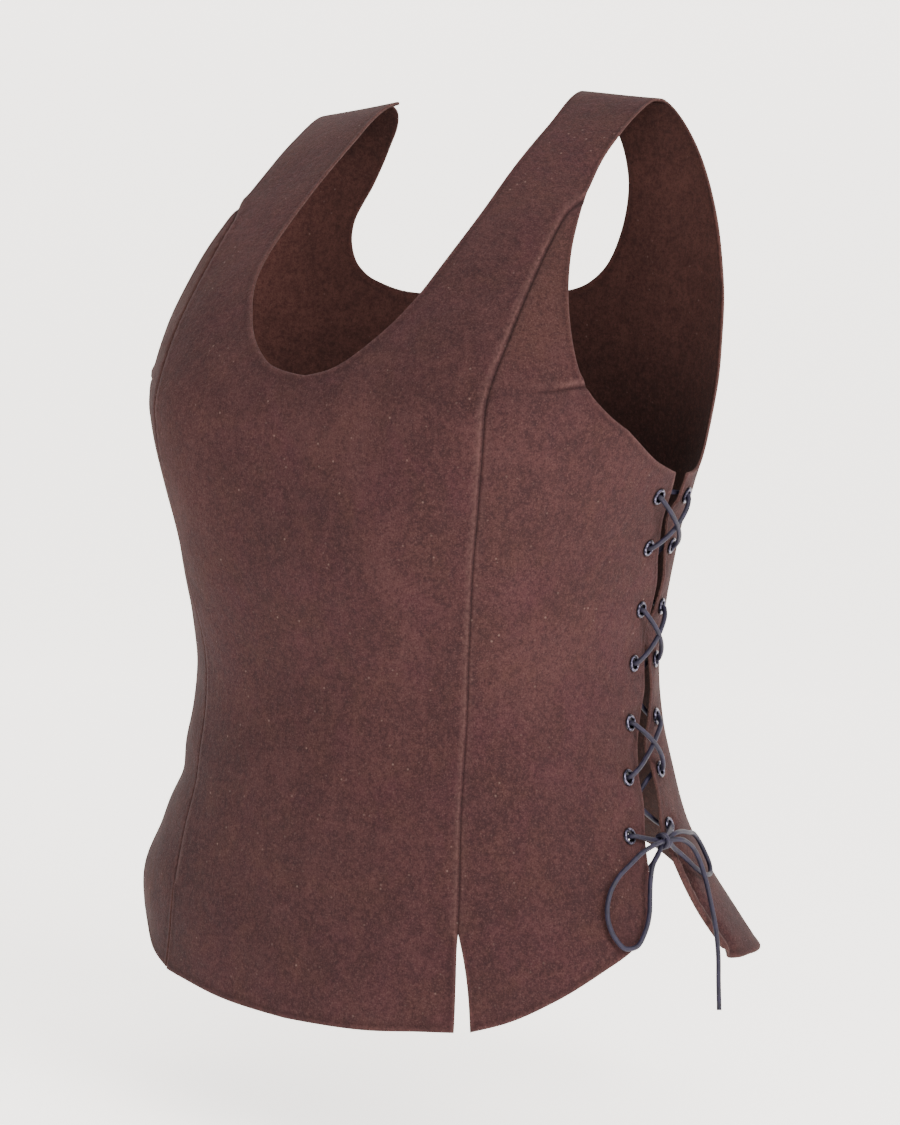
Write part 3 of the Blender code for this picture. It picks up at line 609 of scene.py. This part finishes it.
def addLaces():
    for label, side in (("left", 1), ("right", -1)):
        knot = liePoint(side, laces["knot"])
        run = makeTube(f"laced_run_{label}", throughPoints(lacedRun(side), 0.0009), laces["diameter"])
        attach(run, "root")
        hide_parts(f"lace_{label}_run")
        # a few turns of lace round the middle of the bow
        across, up, out = bodyFrame(side * laces["knot"][0], laces["knot"][1])
        wide, tall = laces["knotWrap"]
        turns = np.linspace(-0.95, 0.95, 60)
        wrap = [
            knot + out * wide * cos(2 * pi * t) + up * tall * sin(2 * pi * t) + across * side * 0.0026 * t
            for t in turns
        ]
        wrap = makeTube(f"bow_wrap_{label}", wrap, laces["diameter"])
        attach(wrap, "root")
        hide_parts(f"lace_{label}_knot")
        # one cord from the back edge makes the big loop and the long end,
        # the other from the front edge makes the small loop and the short end
        parts = (
            ("back", "frontLoop", "backEnd", 0.0008, "front_loop", "back_end", [wrap]),
            ("front", "backLoop", "frontEnd", -0.0006, "back_loop", "front_end", []),
        )
        for edge, loop, end, shift, loopNode, endNode, extras in parts:
            angle, travel = eyeletPlace(edge, len(eyelets["depth"]) - 1)
            start = threaded((side * angle, travel), knot, ((laces["runEnd"], laces["outside"][-1][1]),))[0]
            middle = knot + out * shift
            nearKnot = middle + (start - middle) / np.linalg.norm(start - middle) * 0.0042
            route = [start, nearKnot, middle]
            width = laces["rightLoopWidth"] if side < 0 and loop == "frontLoop" else 1.0
            route += [liePoint(side, lie, width) for lie in laces[loop]]
            route += [knot - out * 0.6 * shift - up * 0.0012]
            route += [liePoint(side, lie) for lie in laces[end]]
            points = throughPoints(route, laces["step"])
            cord = makeTube(f"bow_cord_{edge}_{label}", points, laces["diameter"])
            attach(cord, "root")
            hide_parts(*(f"lace_{label}_{node}" for node in (f"{edge}_strand", loopNode, endNode)))


addLaces()
print("laces ready")


# Suede panels, cut on the flat and laid on the body

cloth = {
    "wall": 0.0018,
    "rows": (0.0009, 0.0019, 0.0031),       # finer rows of points beside the edges
    "degreeWidth": 0.003,
    "cell": 0.0030,
    "edgeStep": 0.0022,
    "holeSides": 32,
    "edgeRound": 0.00045,
}
cuts = {
    "neckFrontLeft": (
        (0.0, -0.164), (3.5, -0.161), (9.7, -0.148), (15.1, -0.130), (18.5, -0.113), (21.2, -0.096),
        (23.4, -0.080), (26.0, -0.060), (27.6, -0.045), (28.3, -0.022), (28.4, 0.0), (28.4, 0.012),
    ),
    "neckFrontRight": (
        (0.0, -0.164), (3.5, -0.162), (6.8, -0.159), (10.5, -0.152), (13.7, -0.144), (16.2, -0.136),
        (18.5, -0.128), (20.3, -0.119), (21.3, -0.108), (21.6, -0.095), (21.5, -0.080), (21.7, -0.065),
        (22.3, -0.050), (23.6, -0.034), (24.7, -0.015), (25.2, 0.0), (25.1, 0.012),
    ),
    "neckBackLeft": (
        (28.4, 0.0124), (28.5, 0.030), (28.6, 0.060), (28.4, 0.079), (27.5, 0.092), (25.9, 0.103),
        (22.4, 0.120), (17.8, 0.134), (13.8, 0.140), (9.4, 0.143), (4.5, 0.1445), (0.0, 0.145),
    ),
    "neckBackRight": (
        (25.1, 0.0124), (23.6, 0.030), (23.3, 0.050), (24.5, 0.064), (26.0, 0.079), (28.0, 0.092),
        (30.1, 0.101), (31.6, 0.109), (31.8, 0.118), (30.1, 0.128), (26.7, 0.135), (22.7, 0.139),
        (18.4, 0.142), (12.0, 0.144), (6.0, 0.145), (0.0, 0.145),
    ),
    "armholeFront": (
        (62.1, 0.012), (62.0, 0.0), (60.0, -0.018), (53.5, -0.045), (48.2, -0.066), (45.8, -0.086),
    ),
    "armholeSide": (
        (45.8, -0.086), (45.7, -0.106), (47.1, -0.124), (49.9, -0.142), (55.3, -0.164), (62.3, -0.179),
        (72.4, -0.195), (81.0, -0.206), (90.0, -0.213),
    ),
    "armholeBackLeft": (
        (62.1, 0.0124), (62.5, 0.040), (62.3, 0.080), (61.0, 0.110), (59.5, 0.138), (60.5, 0.165),
        (63.7, 0.188), (69.0, 0.205), (77.0, 0.212), (84.5, 0.214),
    ),
    "armholeBackRight": (
        (62.1, 0.0124), (62.8, 0.040), (64.0, 0.080), (66.3, 0.110), (68.0, 0.138), (68.2, 0.160),
        (69.2, 0.185), (71.8, 0.203), (77.6, 0.212), (84.5, 0.214),
    ),
    "princessSeam": (
        (45.8, -0.086), (42.2, -0.093), (40.1, -0.105), (38.1, -0.124), (36.7, -0.144), (35.3, -0.172),
        (36.1, -0.194), (37.6, -0.217), (39.8, -0.249), (40.5, -0.282), (38.6, -0.326), (37.1, -0.363),
        (34.3, -0.425), (31.9, -0.459),
    ),
    "slitFrontLeft": ((31.9, -0.459), (31.2, -0.469), (30.6, -0.487), (30.3, -0.512)),
    "slitFrontRight": ((31.9, -0.459), (31.3, -0.469), (30.9, -0.487), (30.7, -0.512)),
    "slitSideLeft": ((31.9, -0.459), (32.3, -0.469), (32.9, -0.487), (33.5, -0.511)),
    "slitSideRight": ((31.9, -0.459), (31.6, -0.469), (31.35, -0.487), (31.2, -0.511)),
    "hemFront": ((24.0, -0.5135), (14.0, -0.517), (0.0, -0.519)),
    "hemSide": (
        (40.6, -0.505), (50.8, -0.493), (63.1, -0.478), (72.7, -0.468), (77.4, -0.462), (80.3, -0.455),
    ),
    "lacedEdgeFront": (
        (90.0, -0.213), (91.5, -0.235), (93.5, -0.260), (96.0, -0.290), (94.8, -0.320), (92.5, -0.350),
        (90.0, -0.380), (87.6, -0.415), (83.4, -0.443), (80.3, -0.455),
    ),
    "lacedEdgeBack": (
        (84.5, 0.214), (83.0, 0.250), (80.5, 0.290), (81.2, 0.320), (82.5, 0.352), (85.0, 0.386),
        (87.0, 0.411), (86.2, 0.440), (84.5, 0.462), (81.5, 0.480),
    ),
    "hemBack": (
        (81.5, 0.480), (79.0, 0.4855), (71.0, 0.4885), (61.0, 0.4890), (50.0, 0.4850), (42.0, 0.4760),
        (34.0, 0.4610), (25.0, 0.4480), (14.0, 0.4410), (0.0, 0.4385),
    ),
    "armholeDart": ((56.5, -0.1650), (55.1, -0.1652), (48.3, -0.1680), (41.6, -0.1700), (36.7, -0.172)),
}
details = {
    "seamDip": 0.0009,
    "seamDipWidth": 0.0014,
    "seamPad": 0.0007,
    "seamPadPlace": 0.0042,
    "seamPadWidth": 0.0024,
    "puckerPitch": 0.0042,
    "pucker": 0.00014,
    "puckerPlace": 0.0022,
    "puckerWidth": 0.0016,
    "dartDip": 0.0012,
    "dartPad": 0.0012,
    "dartPadPlace": 0.0036,
    "dartPadWidth": 0.0024,
    "dartPucker": 0.00012,
    "dartPuckerPitch": 0.004,
    "dartFade": 0.048,
    "edgeLine": 0.0030,
    "edgeLineDip": 0.00022,
    "edgeLineWidth": 0.0006,
    "handWaves": 0.0007,
    "laceGather": 0.0016,
    "gatherHeight": 0.011,
    "gatherReach": 0.018,
    "pinchHeight": 0.010,
    "pinchReach": 0.030,
    "frontPinch": (0.0010, 0.0012, 0.0010),
    "backPinch": (0.0035, 0.0060, 0.0035),
    # painted highlight along the cut edges
    "rimHighlight": 0.40,
    "tailRoll": 0.0026,
    "tailRollStart": 0.412,
    "eyeletFlat": 0.0052,       # radius of flat suede round an eyelet, and how far it takes to fade
    "eyeletFade": 0.0045,
}


def flatCurve(name, step, offset=0.0, start=()):
    marks = np.array(tuple(start) + cuts[name], float) * (cloth["degreeWidth"], 1)
    keys = np.concatenate([[0], np.cumsum(np.hypot(*np.diff(marks, axis=0).T))])
    at = np.linspace(0, keys[-1], max(1, ceil(keys[-1] / step)) + 1)
    return np.stack([smoothCurve(keys, marks[:, 0], at) + offset, smoothCurve(keys, marks[:, 1], at)], -1)


def joinRuns(*runs):
    places = [runs[0][0]]
    for run in runs:
        for place in run:
            if np.hypot(*(place - places[-1])) > 1e-6:
                places.append(place)
    return np.array(places)


def mirrored(places):
    return places * (-1, 1)


def wholeOutline(left, right):
    return np.concatenate([left, mirrored(right[-2:0:-1])])


def insideOutline(places, outline):
    hit = np.zeros(len(places), bool)
    x, y = places.T
    for (ax, ay), (bx, by) in zip(outline, np.roll(outline, -1, axis=0)):
        crosses = (ay > y) != (by > y)
        if crosses.any():
            hit ^= crosses & (x < ax + (y - ay) * (bx - ax) / (by - ay if by != ay else 1))
    return hit


def distanceTo(places, line, closed=False):
    # distance of flat places from a flat line, and how far along it the nearest place is
    ends = np.roll(line, -1, axis=0) if closed else line[1:]
    starts = line if closed else line[:-1]
    best = np.full(len(places), 9.0)
    along = np.zeros(len(places))
    passed = 0.0
    for a, b in zip(starts, ends):
        d = b - a
        long = float(np.hypot(*d))
        if long < 1e-9:
            continue
        t = np.clip(((places - a) @ d) / long**2, 0, 1)
        far = np.hypot(*(places - a - t[:, None] * d).T)
        nearer = far < best
        best = np.where(nearer, far, best)
        along = np.where(nearer, passed + t * long, along)
        passed += long
    return best, along


def roundOnBody(angle, travel, radius, count):
    # flat places of a true round on the body
    middle = bodyPoint(angle, travel)
    along = bodyPoint(angle + 0.5, travel) - bodyPoint(angle - 0.5, travel)
    climb = (bodyPoint(angle, travel + 0.001) - bodyPoint(angle, travel - 0.001)) / 0.002
    across = along / np.linalg.norm(along)
    up = climb - across * climb.dot(across)
    up /= np.linalg.norm(up)
    turn = np.arange(count) * 2 * pi / count
    target = middle + (np.cos(turn)[:, None] * across + np.sin(turn)[:, None] * up) * radius
    angles, travels = np.full(count, float(angle)), np.full(count, float(travel))
    for _ in range(30):
        miss = (target - bodyPoint(angles, travels)) * 0.4
        travelled = miss @ up / climb.dot(up)
        angles += (miss @ across - travelled * climb.dot(across)) / np.linalg.norm(along)
        travels += travelled
    return np.stack([angles * cloth["degreeWidth"], travels], -1)


def gentleWaves(points):
    # slow uneven waves of worn suede
    x, y, z = points.T
    wave = np.sin(31 * x + 17 * z + 0.7) * np.sin(23 * z - 19 * y + 1.9)
    wave += 0.6 * np.sin(57 * x - 41 * z + 2.1) * np.sin(49 * y + 37 * z + 0.4)
    wave += 0.35 * np.sin(103 * x + 61 * z + 1.2) * np.sin(89 * z - 71 * y + 2.6)
    return wave


def clothRelief(kind, flat, outline, points, places):
    # height of the sewn and worn detail over the plain shape, and the colour marks that go with it: painted
    # highlights (red), painted shade (green) and a browner zone (blue)
    lift = details["handWaves"] * gentleWaves(points)
    marks = np.zeros((len(flat), 4), np.float32)
    marks[:, 3] = 1
    sideways = np.abs(flat) * (1, np.sign(flat[:, 1].mean()))
    rim = distanceTo(flat, outline, closed=True)[0]
    free = np.ones(len(flat))
    if kind != "back":
        seam, alongSeam = distanceTo(sideways, flatCurve("princessSeam", cloth["edgeStep"]))
        free = np.clip((seam - 0.0015) / 0.003, 0, 1)
        side = 1.0 if kind == "front" else 0.35
        # the seam is deepest over the bust and nearly flat lower down
        depth = 0.45 + 0.55 * np.clip((flat[:, 1] + 0.30) / 0.12, 0, 1)
        lift -= details["seamDip"] * bell(seam, details["seamDipWidth"]) * depth
        pad = bell(seam - details["seamPadPlace"], details["seamPadWidth"])
        lift += details["seamPad"] * side * pad * depth
        pucker = np.sin(2 * pi * alongSeam / details["puckerPitch"])
        lift += details["pucker"] * pucker * bell(seam - details["puckerPlace"], details["puckerWidth"])
        # painted shade in the seam groove, and a painted highlight on the raised pad beside it
        marks[:, 1] = np.maximum(marks[:, 1], (0.55 + 0.40 * depth) * bell(seam, 0.0009))
        marks[:, 0] = np.maximum(marks[:, 0], 0.55 * side * bell(seam - 0.0024, 0.0012))
    if kind == "side":
        dart, alongDart = distanceTo(sideways, flatCurve("armholeDart", cloth["edgeStep"]))
        fade = np.clip(1.20 - alongDart / details["dartFade"], 0, 1)
        above = np.where(sideways[:, 1] > -0.166, 1.0, 0.25)
        lift -= details["dartDip"] * bell(dart, 0.0010) * fade
        pad = bell(dart - details["dartPadPlace"], details["dartPadWidth"])
        lift += details["dartPad"] * fade * pad * above
        pucker = np.sin(2 * pi * alongDart / details["dartPuckerPitch"])
        lift += details["dartPucker"] * fade * pucker * bell(dart - 0.002, 0.0015)
        # painted shade in the dart groove, and a painted highlight on the pad above it
        marks[:, 1] = np.maximum(marks[:, 1], 0.85 * bell(dart, 0.0009) * fade)
        marks[:, 0] = np.maximum(marks[:, 0], 0.60 * bell(dart - 0.0022, 0.0014) * fade * above)
        # browner between the armhole and the dart
        brown = np.clip((sideways[:, 1] + 0.172) / 0.03, 0, 1)
        brown = brown * np.clip((-0.088 - sideways[:, 1]) / 0.02, 0, 1)
        marks[:, 2] = brown * np.clip((dart - 0.001) / 0.004, 0, 1)
    lift -= details["edgeLineDip"] * bell(rim - details["edgeLine"], details["edgeLineWidth"]) * free
    # painted shade in the groove along the edge line, and a painted highlight along the cut edge
    marks[:, 1] = np.maximum(marks[:, 1], 0.35 * bell(rim - details["edgeLine"], 0.0006) * free)
    marks[:, 0] = np.maximum(marks[:, 0], details["rimHighlight"] * bell(rim, 0.0011) * free)
    if kind != "front":
        lacedEdge = flatCurve("lacedEdgeBack" if kind == "back" else "lacedEdgeFront", 0.004)
        far = distanceTo(sideways, lacedEdge)[0]
        depth = np.abs(flat[:, 1])
        rows = eyelets["depth"]
        between = [depth - (upper + lower) / 2 for upper, lower in zip(rows, rows[1:])]
        # the edge gapes where no lace crosses, and the crossed lace pulls it in
        for gap in between[1::2]:
            gape = bell(gap, details["gatherHeight"]) * bell(far, details["gatherReach"])
            lift += details["laceGather"] * gape
        pulls = details["backPinch"] if kind == "back" else details["frontPinch"]
        for gap, pull in zip(between[0::2], pulls):
            lift -= pull * bell(gap, details["pinchHeight"]) * bell(far, details["pinchReach"])
    if kind == "back":
        low = np.clip((depth - details["tailRollStart"]) / 0.02, 0, 1)
        lift += details["tailRoll"] * low * (bell(far - 0.003, 0.004) - 0.9 * bell(far - 0.011, 0.004))
        # painted highlight on the outward roll of the tail's edge, and painted shade in the dip beside it
        marks[:, 0] = np.maximum(marks[:, 0], 0.55 * low * bell(far - 0.004, 0.002))
        marks[:, 1] = np.maximum(marks[:, 1], 0.45 * low * bell(far - 0.010, 0.003))
    # the suede lies flat under every eyelet
    for place in places:
        near = np.linalg.norm(points - bodyPoint(*place), axis=1)
        t = np.clip((near - details["eyeletFlat"]) / details["eyeletFade"], 0, 1)
        lift *= t * t * (3 - 2 * t)
    return lift, marks


def insetRows(line, depths, closed=True):
    # rows of places beside a line, to its left for positive depths
    ahead = np.roll(line, -1, axis=0) if closed else np.concatenate([line[1:], line[-1:]])
    behind = np.roll(line, 1, axis=0) if closed else np.concatenate([line[:1], line[:-1]])
    way = ahead - behind
    way = way / np.maximum(np.hypot(*way.T), 1e-9)[:, None]
    left = np.stack([-way[:, 1], way[:, 0]], -1)
    return [line + left * depth for depth in depths]


def innerPlaces(kind, outline, holes):
    # an even grid inside the panel, with finer rows beside its rim and the dart for the sewn detail
    cell = cloth["cell"]
    low, high = outline.min(0), outline.max(0)
    rows = np.arange(low[1], high[1], cell * 0.866)
    grid = []
    for i, y in enumerate(rows):
        xs = np.arange(low[0] + (i % 2) * cell / 2, high[0], cell)
        grid.append(np.stack([xs, np.full(len(xs), y)], -1))
    grid = np.concatenate(grid)
    grid = grid[insideOutline(grid, outline)]
    grid = grid[distanceTo(grid, outline, closed=True)[0] > cloth["rows"][-1] + 0.5 * cell]
    x, y = outline.T
    turnsLeft = (x * np.roll(y, -1) - np.roll(x, -1) * y).sum() > 0
    fine = insetRows(outline, [depth if turnsLeft else -depth for depth in cloth["rows"]])
    rimRows = zip(fine, cloth["rows"])
    fine = [row[distanceTo(row, outline, closed=True)[0] > 0.8 * depth] for row, depth in rimRows]
    if kind == "side":
        dart = flatCurve("armholeDart", 0.0020) * (np.sign(outline[:, 0].mean()), 1)
        grid = grid[distanceTo(grid, dart)[0] > 0.0034]
        rows = np.concatenate(insetRows(dart, (0.0, 0.0009, -0.0009, 0.0020, -0.0020), closed=False))
        fine = [row[distanceTo(row, dart)[0] > 0.0030] for row in fine]
        fine.append(rows[distanceTo(rows, outline, closed=True)[0] > 0.0007])
    fine = np.concatenate(fine)
    grid = np.concatenate([grid, fine[insideOutline(fine, outline)]])
    for hole in holes:
        middle = hole.mean(0)
        grid = grid[np.hypot(*(grid - middle).T) > np.hypot(*(hole - middle).T).max() + 0.4 * cell]
    return grid


def cutFlat(outline, holes, inner):
    # triangles of the flat cut, with its eyelet holes left open
    loops = [outline] + holes
    points = np.concatenate(loops)
    edges, start = [], 0
    for loop in loops:
        edges += [(start + i, start + (i + 1) % len(loop)) for i in range(len(loop))]
        start += len(loop)
    points = np.concatenate([points, inner])
    made = delaunay_2d_cdt([Vector(p) for p in points], edges, [], 0, 1e-7)
    flat = np.array([tuple(p) for p in made[0]])
    triangles = np.array([t for t in made[2] if len(t) == 3])
    middles = flat[triangles].mean(1)
    keep = insideOutline(middles, outline)
    for hole in holes:
        keep &= ~insideOutline(middles, hole)
    return flat, triangles[keep]


def makePanel(name, kind, outline, places):
    wall = cloth["wall"]
    holes = [roundOnBody(angle, travel, eyelets["hole"], cloth["holeSides"]) for angle, travel in places]
    flat, triangles = cutFlat(outline, holes, innerPlaces(kind, outline, holes))
    angles, travels = flat[:, 0] / cloth["degreeWidth"], flat[:, 1]
    plain = bodyPoint(angles, travels)
    out = bodyFrame(angles, travels)[2]
    lift, marks = clothRelief(kind, flat, outline, plain, places)
    outer = plain + out * lift[:, None]
    inner = outer - out * wall
    # borders of the triangles are the rim and the holes; their edge is rounded
    sides = {}
    for a, b, c in triangles:
        for pair in ((a, b), (b, c), (c, a)):
            sides[pair] = True
    rimNext = {a: b for a, b in sides if (b, a) not in sides}
    rimBack = {b: a for a, b in rimNext.items()}
    rim = np.array(sorted(rimNext))
    ahead, behind = np.array([rimNext[i] for i in rim]), np.array([rimBack[i] for i in rim])
    along = outer[ahead] - outer[behind]
    along /= np.linalg.norm(along, axis=1, keepdims=True)
    aside = np.cross(along, out[rim])
    aside /= np.linalg.norm(aside, axis=1, keepdims=True)
    # where two panels are sewn together their edges stay square and meet
    tuck = np.full((len(rim), 1), cloth["edgeRound"])
    if kind != "back":
        seam = flatCurve("princessSeam", cloth["edgeStep"])
        sewn = distanceTo(np.abs(flat[rim]) * (1, -1), seam)[0] < 0.0004
        tuck[sewn] = 0.00002
    ringA = outer[rim] - out[rim] * tuck
    ringB = inner[rim] + out[rim] * tuck
    outer[rim] -= aside * tuck
    inner[rim] -= aside * tuck
    count = len(flat)
    verts = np.concatenate([outer, inner, ringA, ringB])
    slot = {v: i for i, v in enumerate(rim)}
    faces = [tuple(t) for t in triangles] + [tuple(count + i for i in t[::-1]) for t in triangles]
    indexes = [0] * len(triangles) + [1] * len(triangles)
    a0, b0 = 2 * count, 2 * count + len(rim)
    for a, b in rimNext.items():
        i, j = slot[a], slot[b]
        faces += [(b, a, a0 + i, a0 + j), (a0 + j, a0 + i, b0 + i, b0 + j)]
        faces.append((b0 + j, b0 + i, count + a, count + b))
        indexes += [0, 2, 1]
    used = np.unique(np.concatenate([np.array(f) for f in faces]))
    renumber = np.full(len(verts), -1)
    renumber[used] = np.arange(len(used))
    mesh = bpy.data.meshes.new(name)
    mesh.from_pydata(verts[used].tolist(), [], [tuple(int(renumber[v]) for v in f) for f in faces])
    mesh.update()
    mesh.shade_smooth()
    for material in (suedeOutside, suedeInside, suedeCutEdge):
        mesh.materials.append(material)
    mesh.polygons.foreach_set("material_index", indexes)
    # the rounded rim strips take less painted highlight and some more painted shade
    rimMarks = marks[rim] * (0.6, 1, 1, 1) + (0, 0.25, 0, 0)
    allMarks = np.concatenate([marks, marks, rimMarks, rimMarks])[used]
    layer = mesh.attributes.new("marks", "FLOAT_COLOR", "POINT")
    layer.data.foreach_set("color", allMarks.astype(np.float32).ravel())
    panel = bpy.data.objects.new(name, mesh)
    scene.collection.objects.link(panel)
    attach(panel, "root")
    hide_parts(name.replace("suede_", ""))
    print(name, len(mesh.polygons), "faces")
    return panel


def eyeletFlats(edge, side):
    places = [eyeletPlace(edge, row) for row in range(len(eyelets["depth"]))]
    return [(side * angle, travel) for angle, travel in places]


def addFront():
    step, halves = cloth["edgeStep"], []
    for label in ("Left", "Right"):
        slit = flatCurve("slitFront" + label, step)
        side = joinRuns(
            flatCurve("armholeFront", step)[:-1],
            flatCurve("princessSeam", step),
            slit,
            flatCurve("hemFront", step, start=cuts["slitFront" + label][-1:])[1:],
        )
        halves.append(joinRuns(flatCurve("neckFront" + label, step), side))
    panel = makePanel("suede_front_centre", "front", wholeOutline(*halves), [])


def addSideFronts():
    step = cloth["edgeStep"]
    for label, side in (("Left", 1), ("Right", -1)):
        outline = joinRuns(
            flatCurve("princessSeam", step),
            flatCurve("slitSide" + label, step),
            flatCurve("hemSide", step, start=cuts["slitSide" + label][-1:])[1:],
            flatCurve("lacedEdgeFront", step)[::-1],
            flatCurve("armholeSide", step)[:0:-1],
        )
        outline = outline if side > 0 else mirrored(outline)[::-1]
        panel = makePanel(f"suede_side_front_{label.lower()}", "side", outline, eyeletFlats("front", side))


def addBack():
    step, halves = cloth["edgeStep"], []
    for label in ("Left", "Right"):
        side = joinRuns(
            flatCurve("armholeBack" + label, step),
            flatCurve("lacedEdgeBack", step),
            flatCurve("hemBack", step),
        )
        halves.append(joinRuns(flatCurve("neckBack" + label, step)[::-1], side))
    places = eyeletFlats("back", 1) + eyeletFlats("back", -1)
    panel = makePanel("suede_back", "back", wholeOutline(*halves), places)


addFront()
addSideFronts()
addBack()
print("panels ready")


# Eyelets

def addEyelet(edge, label, row):
    side = 1 if label == "left" else -1
    angle, travel = eyeletPlace(edge, row)
    place = bodyPoint(side * angle, travel)
    across, up, out = bodyFrame(side * angle, travel)
    section, count = eyelets["section"], eyelets["sides"]
    verts, faces, marks = [], [], []
    for i in range(count):
        turn = 2 * pi * i / count
        arm = across * cos(turn) + up * sin(turn)
        for radius, rise in section:
            verts.append(place + arm * radius + out * rise)
            # painted highlight on the top of the flange
            marks.append((float(np.clip((rise - 0.0009) / 0.0005, 0, 1)), 0, 0, 1))
    steps = len(section)
    for i in range(count):
        for k in range(steps):
            here, there = i * steps, ((i + 1) % count) * steps
            n = (k + 1) % steps
            faces.append((here + k, here + n, there + n, there + k))
    name = f"metal_eyelet_{edge}_{label}_{row + 1}"
    mesh = bpy.data.meshes.new(name)
    mesh.from_pydata([tuple(v) for v in verts], [], faces)
    mesh.shade_smooth()
    layer = mesh.attributes.new("marks", "FLOAT_COLOR", "POINT")
    layer.data.foreach_set("color", np.array(marks, np.float32).ravel())
    mesh.materials.append(eyeletMetal)
    ring = bpy.data.objects.new(name, mesh)
    scene.collection.objects.link(ring)
    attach(ring, "root")
    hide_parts(f"eyelet_{edge}_{label}_{row + 1}")


for edge in ("front", "back"):
    for label in ("left", "right"):
        for row in range(len(eyelets["depth"])):
            addEyelet(edge, label, row)
print("eyelets ready")
